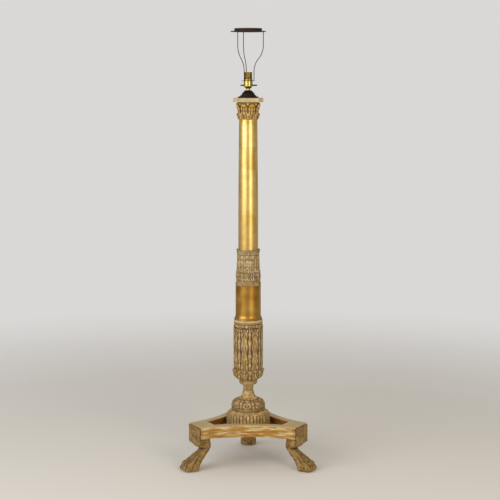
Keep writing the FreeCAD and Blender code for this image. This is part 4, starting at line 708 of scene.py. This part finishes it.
class FLOORLAMP_OT_leaf_drum(bpy.types.Operator):
    """Carve the bowl's leaves, the tall leaves of the drum and the tongues over them"""
    bl_idname = "floor_lamp.leaf_drum"
    bl_label = "Calyx bowl and leaf drum"

    def execute(self, context):
        sizes = context.scene.floor_lamp_sizes
        depth = sizes.leaf_depth / MM

        def tongues(angle, height):
            """Half-round tongues in the band over the drum, round at the foot."""
            phase = angle * sizes.tongues / (2 * math.pi)
            rib = half_round(phase)
            foot = 5 * (1 - rib)
            band = smooth_step(height, 160.5 + foot, 163.5 + foot) * (1 - smooth_step(height, 172, 174))
            ground = 1 - smooth_step(height, 155, 158)
            return 2.0 * rib * band, np.clip(0.9 * (1 - band * rib) - 0.25 * ground, 0, 1)

        plain = outline([(CORE, 0), (52, 0)], [(52, 0), (52, 150)], step=10)
        band = outline([(52, 153), (52, 158)], [(52, 158), (53.4, 159.4), (53.4, 161), (52, 162)],
                       [(52, 162), (52, 174.5)], [(52, 174.5), (53.6, 175.2), (53.6, 176)],
                       [(53.6, 176), (CORE, 176)], step=1.0)
        core = np.vstack([plain, band])
        shells = [turned(core, tongues, columns=384, recess=0.45)]
        tall = flowing([(51.8, 1), (52, 40), (52, 120), (52.2, 150), (52.6, 168)], 120)
        behind = flowing([(51.8, 1), (51.8, 120), (52, 160)], 80)
        turn = LEAF_TURNS["drum"]
        shells += fan_out(sizes.leaves, turn,
                          leaf(tall, 21.5, lobes=6, thickness=depth, notch=0.34, slant=0.07))
        shells += fan_out(sizes.leaves, turn + math.pi / sizes.leaves,
                          leaf(behind, 14, lobes=5, thickness=depth * 0.6, notch=0.3, slant=0.06))
        make_piece("carved_leaf_drum", shells, "shaded lower gilding", "leaf_drum")
        core = outline([(CORE, 0), (32.4, 0)],
                       [(32.4, 0), (40, 3.4), (49, 9.6), (54, 17), (55.4, 26), (54.6, 36), (52.6, 42)],
                       [(52.6, 42), (CORE, 42)], step=1.2)
        shells = [turned(core, recess=0.5)]
        spine = flowing([(32.6, 1.2), (41, 4.4), (50, 11), (54.6, 19), (56, 28), (56.6, 35), (56.6, 39)],
                        90)
        under = flowing([(33, 2.2), (42, 5.6), (50.4, 11.6), (54.6, 19), (55.6, 29), (56.6, 36.4),
                         (57.6, 37.6)], 90)
        turn = LEAF_TURNS["bowl"]
        shells += fan_out(sizes.leaves, turn, leaf(spine, 21.5, lobes=4, thickness=depth * 0.6, notch=0.3,
                                                   back=1.2, foot=0.7))
        shells += fan_out(sizes.leaves, turn, curl(57, 35.4, 9, 4.8))
        shells += fan_out(sizes.leaves, turn + math.pi / sizes.leaves, curl(56, 37.4, 7, 4))
        shells += fan_out(sizes.leaves, turn + math.pi / sizes.leaves,
                          leaf(under, 17, lobes=3, thickness=depth * 0.35, notch=0.28, back=1.2, foot=0.7))
        make_piece("carved_bowl", shells, "shaded lower gilding", "calyx_bowl")
        return {"FINISHED"}


class FLOORLAMP_OT_collar(bpy.types.Operator):
    """Carve the two rows of leaves of the collar"""
    bl_idname = "floor_lamp.collar"
    bl_label = "Leaf collar"

    def execute(self, context):
        sizes = context.scene.floor_lamp_sizes
        depth = sizes.leaf_depth / MM
        count = sizes.collar_leaves
        core = outline([(CORE, 0), (42, 0)],
                       [(42, 0), (43.4, 3), (43.6, 20), (41.4, 40), (40.4, 54), (40.4, 100), (41.6, 110),
                        (44, 116.4)], [(44, 116.4), (44.7, 117.2), (44.5, 118.5)],
                       [(44.5, 118.5), (CORE, 118.5)], step=1.2)
        shells = [turned(core, columns=96, recess=0.5)]
        low = flowing([(43.4, 0.6), (44.2, 10), (44.2, 24), (43.4, 34), (42.6, 44)], 70)
        tall = flowing([(42.2, 32), (41.4, 50), (40.4, 75), (39.8, 97), (40.8, 107), (42.6, 114)], 90)
        behind = flowing([(42, 40), (40.6, 56), (40, 80), (39.8, 98), (41, 110)], 80)
        turn = LEAF_TURNS["collar"]
        shells += fan_out(count, turn,
                          leaf(behind, 9, lobes=4, thickness=depth * 0.6, notch=0.28, slant=0.05))
        shells += fan_out(count, turn + math.pi / count, leaf(tall, 11.4, lobes=5, thickness=depth * 0.72,
                                                              notch=0.3, slant=0.08))
        shells += fan_out(count, turn,
                          leaf(low, 11.8, lobes=3, thickness=depth * 0.72, notch=0.32, slant=0.08))
        make_piece("carved_collar", shells, "rubbed gilding", "leaf_collar")
        return {"FINISHED"}


class FLOORLAMP_OT_capital(bpy.types.Operator):
    """Carve the capital's two rows of leaves"""
    bl_idname = "floor_lamp.capital"
    bl_label = "Capital and abacus"

    def execute(self, context):
        sizes = context.scene.floor_lamp_sizes
        depth = sizes.leaf_depth / MM
        core = outline([(CORE, 0), (34.5, 0)], [(34.5, 0), (35.2, 20), (35.4, 40), (36.6, 52), (39.6, 61)],
                       [(39.6, 61), (40, 62.4), (39.6, 65)], [(39.6, 65), (CORE, 65)], step=1.2)
        shells = [turned(core, recess=0.5)]
        low = flowing([(35, 0.6), (36.6, 7), (38.4, 13), (40.4, 18.6), (41.4, 22)], 70)
        tall = flowing([(35.4, 12), (37.4, 26), (39.6, 38), (42, 48), (43.8, 54), (44, 58)], 90)
        turn = LEAF_TURNS["capital"]
        shells += fan_out(sizes.leaves, turn + math.pi / sizes.leaves,
                          leaf(low, 14, lobes=3, thickness=depth * 0.75, notch=0.32, foot=0.85))
        shells += fan_out(sizes.leaves, turn + math.pi / sizes.leaves, curl(39.8, 19, 7.5, 3.8))
        shells += fan_out(sizes.leaves, turn, leaf(tall, 15, lobes=4, thickness=depth * 0.75, notch=0.32,
                                                   foot=0.8))
        shells += fan_out(sizes.leaves, turn, curl(43.4, 51, 8, 4.4))
        shells += fan_out(sizes.leaves, turn + math.pi / sizes.leaves, curl(40.6, 57, 5, 4.6))
        make_piece("carved_capital", shells, "warm gilding", "capital")
        return {"FINISHED"}


# Legs

LIMB = [  # height, centre from the axis, half length outwards, half width across
    (1, 245, 25, 29), (8, 245, 27, 31), (18, 242, 27, 31), (30, 233, 25, 29), (42, 222, 22.5, 26.5),
    (56, 208, 20.5, 24.5), (68, 197, 19.5, 24), (77, 191, 19.5, 24), (83, 190, 21, 25.5), (88, 195, 27, 30),
    (94, 200, 31, 33.5), (104, 204, 33, 35.5), (116, 206, 33, 36), (125, 205, 32, 35),
]
TOES = (-22.5, -7.5, 7.5, 22.5)
TONGUE_BACK = 228.4  # millimetres from the axis to the back of the tongue on a corner face


def squared(values, power):
    """Values raised to a power with their sign kept: under 1 it squares up a sine or cosine."""
    return np.sign(values) * np.abs(values) ** power


def leg_shells():
    """The loops of one leg that points along +X: limb, tendons, toes and claws."""
    rows = flowing(LIMB, 90)
    angle = np.linspace(0, 2 * math.pi, 64, endpoint=False)[None, :]
    height, centre, length, width = (rows[:, column, None] for column in range(4))
    x = centre + length * squared(np.cos(angle), 0.86)
    y = width * squared(np.sin(angle), 0.86)
    limb = np.stack([x, y, height + 0 * angle], axis=-1)
    shells = [(limb, np.zeros(limb.shape[:2]))]
    for across in TOES:
        back = abs(across) * 0.2
        tendon = flowing([(206, across * 0.45, 74), (224, across * 0.66, 58), (244, across * 0.9, 42),
                          (257 - back, across, 32)], 24)
        shells.append(tube(tendon, np.linspace(3.8, 6.6, 24)))
        shells.append(ball((262 - back, across, 24.5), (17, 8.4, 12.5)))
        shells.append(ball((272 - back, across * 1.03, 12.5), (13.5, 8.3, 12)))
        claw = flowing([(279 - back, across * 1.04, 15), (284.6 - back, across * 1.05, 11),
                        (286.2 - back, across * 1.06, 3.6)], 16)
        shells.append(tube(claw, np.linspace(4, 1.1, 16), 12))
    shells.append(ball((244, 0, 18), (31, 30, 20)))
    return shells


def tongue_loops(low, high, thickness, width):
    """Loops of a slab with rounded edges: level rounded rectangles that draw in at both ends."""
    height = np.linspace(low, high, 40)[:, None]
    ease = np.minimum(np.minimum(height - low, high - height) / 3.0, 1)
    draw_in = 2.2 * (1 - np.sqrt(1 - (1 - ease) ** 2))
    angle = np.linspace(0, 2 * math.pi, 96, endpoint=False)[None, :]
    x = TONGUE_BACK + thickness / 2 + (thickness / 2 - draw_in * 0.6) * squared(np.cos(angle), 0.12)
    y = (width / 2 - draw_in) * squared(np.sin(angle), 0.12)
    grid = np.stack([x, y, height + 0 * angle], axis=-1)
    return grid, np.zeros(grid.shape[:2])


def fused_leg():
    """One leg as a single carved skin: its shells remeshed as one, cut at the floor and smoothed."""
    shells = leg_shells() + [tongue_loops(100, 167.6, 6.6, 84)]
    mesh = write_mesh("leg_blank", *joined(shells))
    blank = bpy.data.objects.new("leg_blank", mesh)
    bpy.context.scene.collection.objects.link(blank)
    remesh = blank.modifiers.new("fuse", "REMESH")
    remesh.mode = "VOXEL"
    remesh.voxel_size = 1.5 * MM
    shape = bpy.data.meshes.new_from_object(blank.evaluated_get(bpy.context.evaluated_depsgraph_get()))
    bpy.data.objects.remove(blank)
    count = len(shape.vertices)
    points = np.empty(count * 3, np.float32)
    shape.vertices.foreach_get("co", points)
    points = points.reshape(-1, 3).astype(float) / MM
    corners = np.empty(len(shape.loops), np.int32)
    shape.loops.foreach_get("vertex_index", corners)
    sizes = np.empty(len(shape.polygons), np.int32)
    shape.polygons.foreach_get("loop_total", sizes)
    edges = np.empty(len(shape.edges) * 2, np.int32)
    shape.edges.foreach_get("vertices", edges)
    edges = edges.reshape(-1, 2)
    quads = corners.reshape(-1, 4) if (sizes == 4).all() else None
    if quads is None:
        raise RuntimeError("the fused leg has faces that aren't quads")
    points = relax(points, edges, 4)
    # The hollow is painted as shade in the creases between limb, tendons, toes and claws.
    hollow = hollows(points, quads, edges, 10)
    points[:, 2] = np.maximum(points[:, 2], 0.05)
    return points, quads, hollow


def relax(points, edges, rounds):
    """Smooths points: in each round every point moves half way to the mean of its neighbours."""
    degree = np.bincount(edges.ravel(), minlength=len(points))[:, None]
    for _ in range(rounds):
        points = 0.5 * points + 0.5 * neighbour_sum(points, edges) / degree
    return points


def neighbour_sum(values, edges):
    """For every point, the sum of its neighbours' values along the edges."""
    total = np.empty_like(values)
    for axis in range(values.shape[1]):
        forth = np.bincount(edges[:, 0], values[edges[:, 1], axis], len(values))
        back = np.bincount(edges[:, 1], values[edges[:, 0], axis], len(values))
        total[:, axis] = forth + back
    return total


def hollows(points, quads, edges, rounds):
    """How far each point lies in a hollow: the height of a smoothed copy over it, per 0.8 mm."""
    smoothed = relax(points, edges, rounds * 4)
    corner = points[quads]
    face_normal = np.cross(corner[:, 2] - corner[:, 0], corner[:, 3] - corner[:, 1])
    normal = np.zeros_like(points)
    for place in range(4):
        for axis in range(3):
            normal[:, axis] += np.bincount(quads[:, place], face_normal[:, axis], len(points))
    normal /= np.linalg.norm(normal, axis=1)[:, None] + 1e-9
    return np.clip(np.einsum("ij,ij->i", smoothed - points, normal) / 0.8, 0, 1)


class FLOORLAMP_OT_legs(bpy.types.Operator):
    """Carve the three lion-paw legs"""
    bl_idname = "floor_lamp.legs"
    bl_label = "Lion-paw legs"

    def execute(self, context):
        points, quads, hollow = fused_leg()
        for number, degrees in enumerate((-30, 90, 210), start=1):
            turned_points, _ = spun((points, hollow), math.radians(degrees))
            mesh = write_mesh(f"carved_leg_{number}", turned_points, quads, np.empty((0, 3), int), hollow)
            finish_piece(f"carved_leg_{number}", mesh, "leg gilding", f"leg_{number}",
                         crease=70)
        return {"FINISHED"}


# Metal top

class FLOORLAMP_OT_metal_top(bpy.types.Operator):
    """Turn the dark cap"""
    bl_idname = "floor_lamp.metal_top"
    bl_label = "Cap and lampholder"

    def execute(self, context):
        cap = outline([(CORE, 0), (37.6, 0)], [(37.6, 0), (38, 0.6), (38, 4), (37.2, 5.3), (36, 5.5)],
                      [(36, 5.5), (31, 5.5)], [(31, 5.5), (30.2, 6.4), (30.2, 9), (29.2, 10)],
                      [(29.2, 10), (25.4, 10)],
                      [(25.4, 10), (24.8, 12), (23.6, 15.4), (20.6, 19.6), (16.6, 23.4), (13.6, 26.6),
                       (12.8, 28)], [(12.8, 28), (CORE, 28)], step=0.7)
        make_piece("turned_cap", [turned(cap)], "dark bronze patina", "vase_cap")
        return {"FINISHED"}


# Finishes of the pieces that stay as model.glb gives them

FINISHES = {
    "streaked gilding": ["rail_1", "rail_2", "rail_3", "corner_block_1", "corner_block_2", "corner_block_3"],
    "worn cream paint": ["abacus"],
    "stained wood": ["hub_block"],
    "lacquered brass": ["lock_nut", "holder_body", "shade_ring"],
    "dull brass": ["holder_skirt"],
    "contact brass": ["bulb_collar", "plunger_left", "plunger_right", "terminal_screws"],
    "fired insulator": ["holder_insulator"],
    "black push bar": ["push_bar"],
    "blackened iron": ["carrier_ring", "gallery_ring", "gallery_wire_1", "gallery_wire_2", "gallery_wire_3"],
    "plain steel": ["column_rod", "rod_washer", "rod_nut"],
    "flex cover": ["inner_flex"],
    "moulded bush": ["cord_bush"],
}


class FLOORLAMP_OT_finishes(bpy.types.Operator):
    """Mix every finish and give model.glb's own pieces theirs"""
    bl_idname = "floor_lamp.finishes"
    bl_label = "Finishes"

    def execute(self, context):
        tint = context.scene.floor_lamp_colours
        make_leaf_gilding("burnished gold leaf", tint.gold, tint.toned_gold, tint.bole, 82, 0.33, 0.72)
        make_leaf_gilding("old and shaded gold leaf", tint.drum_gold, tint.drum_toned, tint.bole, 82, 0.34, 0.68)
        make_worn_gilding("rubbed gilding", tint.gesso, tint.gesso_shade, tint.old_gold, tint.recess, 0.32)
        # A darker copy of the rubbed gilding for the pieces under the collar: painted shade where the light
        # falls off down the column.
        make_worn_gilding("shaded lower gilding", linear("#C9AE7A"), linear("#8C6C3A"), linear("#B08A3A"),
                          linear("#3C260E"), 0.32)
        make_worn_gilding("warm gilding", linear("#DFC284"), linear("#B4904E"), linear("#C9A04A"),
                          linear("#5C3E14"), 0.5)
        make_worn_gilding("worn cream paint", tint.cream, linear("#B7A274"), tint.old_gold,
                          linear("#7A5A30"), 0.12, patch=30)
        make_streaked_gilding("streaked gilding", linear("#A98036"), linear("#DCC795"), linear("#9A6018"),
                              linear("#7E440C"), linear("#CDB988"))
        # The legs' gilding is darker partly in its own brown and partly as painted shade near the floor.
        make_worn_gilding("leg gilding", linear("#A2844A"), linear("#6E4E20"), linear("#8A6A28"),
                          linear("#2A1806"), 0.3)
        make_metal("dark bronze patina", tint.bronze, linear("#120C0A"), 0.42, 12, metallic=0.6)
        make_metal("lacquered brass", tint.brass, linear("#8E7A30"), 0.2, 14)
        make_metal("dull brass", linear("#8A7434"), linear("#4C3C18"), 0.38, 10)
        make_metal("contact brass", linear("#C0A050"), linear("#8A6A2A"), 0.35, 6)
        make_metal("blackened iron", tint.iron, linear("#3A2418"), 0.6, 9, metallic=0.15)
        make_metal("plain steel", linear("#9A9A98"), linear("#6E6C68"), 0.38, 8)
        make_plain("fired insulator", linear("#2A2420"), linear("#1A1614"), 0.5, 3)
        make_plain("black push bar", linear("#0E0D0D"), linear("#1C1A19"), 0.3, 4)
        make_plain("stained wood", linear("#6B4A2A"), linear("#4A301A"), 0.7, 6, stretch=(1, 1, 4))
        make_plain("flex cover", linear("#B79A5A"), linear("#9C7F42"), 0.55, 2)
        make_plain("moulded bush", linear("#141313"), linear("#201E1D"), 0.5, 2)
        for finish, names in FINISHES.items():
            for name in names:
                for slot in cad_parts[name].material_slots:
                    slot.material = bpy.data.materials[finish]
        return {"FINISHED"}


# Stage

CAMERA_PLACE = (0.0067, -5.036, 1.458)
CAMERA_PITCH = 7.263
CAMERA_LENS = 97.2


def make_floor_paint(name, colour, near, far):
    """Matt pale paint that is solid round the lamp and thins out to nothing between two radii."""
    tree, shader = new_material(name)
    shader.inputs["Base Color"].default_value = colour
    shader.inputs["Roughness"].default_value = 0.85
    place = add(tree, "ShaderNodeTexCoord").outputs["Object"]
    radius = add(tree, "ShaderNodeVectorMath", {0: place}, operation="LENGTH").outputs["Value"]
    solid = add(tree, "ShaderNodeMapRange", {"Value": radius, "From Min": near, "From Max": far,
                                             "To Min": 1.0, "To Max": 0.0}, interpolation_type="SMOOTHSTEP")
    tree.links.new(solid.outputs[0], shader.inputs["Alpha"])


def soft_light(name, place, aim, width, height, power, colour):
    """A large soft lamp that faces a point of the object."""
    data = bpy.data.lights.new(name, "AREA")
    data.shape = "RECTANGLE"
    data.size = width
    data.size_y = height
    data.energy = power
    data.color = colour[:3]
    lamp = bpy.data.objects.new(name, data)
    bpy.context.scene.collection.objects.link(lamp)
    lamp.location = place
    way = np.asarray(aim, float) - np.asarray(place, float)
    flat = math.hypot(way[0], way[1])
    lamp.rotation_euler = (math.pi / 2 + math.atan2(way[2], flat), 0, math.atan2(-way[0], way[1]))
    return lamp


class FLOORLAMP_OT_stage(bpy.types.Operator):
    """Set the pale floor, the soft lights and the camera"""
    bl_idname = "floor_lamp.stage"
    bl_label = "Stage"

    def execute(self, context):
        scene = context.scene
        angle = np.linspace(0, 2 * math.pi, 96, endpoint=False)
        rim = np.stack([9000 * np.cos(angle), 9000 * np.sin(angle), 0 * angle], axis=1)
        mesh = bpy.data.meshes.new("floor")
        mesh.from_pydata((rim * MM).tolist(), [], [list(range(96))])
        floor = bpy.data.objects.new("floor", mesh)
        scene.collection.objects.link(floor)
        make_floor_paint("pale floor", linear("#F1EFEB"), 0.9, 3.6)
        mesh.materials.append(bpy.data.materials["pale floor"])
        world = bpy.data.worlds.new("soft room")
        world.use_nodes = True
        scene.world = world
        tree = world.node_tree
        tree.nodes.clear()
        path = add(tree, "ShaderNodeLightPath")
        fill = add(tree, "ShaderNodeBackground", {"Color": linear("#E4E0D9"), "Strength": 0.54})
        seen = add(tree, "ShaderNodeBackground", {"Color": linear("#DAD8D6"), "Strength": 1.0})
        mixed = add(tree, "ShaderNodeMixShader", {0: path.outputs["Is Camera Ray"], 1: fill.outputs[0],
                                                  2: seen.outputs[0]})
        add(tree, "ShaderNodeOutputWorld", {"Surface": mixed.outputs[0]})
        middle = (0, 0, 0.85)
        soft_light("left window", (-2.8, -2.6, 1.95), middle, 3.6, 2.6, 88, linear("#FCFAFA"))
        soft_light("right window", (1.7, -3.0, 1.6), middle, 1.4, 2.6, 44, linear("#FFEFD2"))
        data = bpy.data.cameras.new("camera")
        data.lens = CAMERA_LENS
        data.sensor_width = 36
        camera = bpy.data.objects.new("camera", data)
        scene.collection.objects.link(camera)
        camera.location = CAMERA_PLACE
        camera.rotation_euler = (math.radians(90 - CAMERA_PITCH), 0, 0)
        scene.camera = camera
        scene.view_settings.view_transform = "Standard"
        return {"FINISHED"}


class FLOORLAMP_PT_sidebar(bpy.types.Panel):
    """The lamp's pieces, sizes and colours"""
    bl_label = "Floor Lamp"
    bl_idname = "FLOORLAMP_PT_sidebar"
    bl_space_type = "VIEW_3D"
    bl_region_type = "UI"
    bl_category = "Floor Lamp"

    def draw(self, context):
        layout = self.layout
        for step in STEPS:
            layout.operator(step.bl_idname)
        for group in (context.scene.floor_lamp_sizes, context.scene.floor_lamp_colours):
            box = layout.box()
            for name in group.__annotations__:
                box.prop(group, name)


STEPS = (
    FLOORLAMP_OT_finishes,
    FLOORLAMP_OT_gilt_column,
    FLOORLAMP_OT_torus,
    FLOORLAMP_OT_dome,
    FLOORLAMP_OT_neck,
    FLOORLAMP_OT_leaf_drum,
    FLOORLAMP_OT_collar,
    FLOORLAMP_OT_capital,
    FLOORLAMP_OT_legs,
    FLOORLAMP_OT_metal_top,
    FLOORLAMP_OT_stage,
)
CLASSES = (FloorLampSizes, FloorLampColours, *STEPS, FLOORLAMP_PT_sidebar)


def register():
    """Registers the classes and gives every scene the lamp's sizes and colours."""
    for entry in CLASSES:
        bpy.utils.register_class(entry)
    bpy.types.Scene.floor_lamp_sizes = PointerProperty(type=FloorLampSizes)
    bpy.types.Scene.floor_lamp_colours = PointerProperty(type=FloorLampColours)


def unregister():
    """Takes the sizes, the colours and the classes away again."""
    del bpy.types.Scene.floor_lamp_colours
    del bpy.types.Scene.floor_lamp_sizes
    for entry in reversed(CLASSES):
        bpy.utils.unregister_class(entry)


def main():
    """Registers the add-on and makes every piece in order."""
    register()
    for step in STEPS:
        group, name = step.bl_idname.split(".")
        getattr(getattr(bpy.ops, group), name)()


if __name__ == "__main__":
    main()
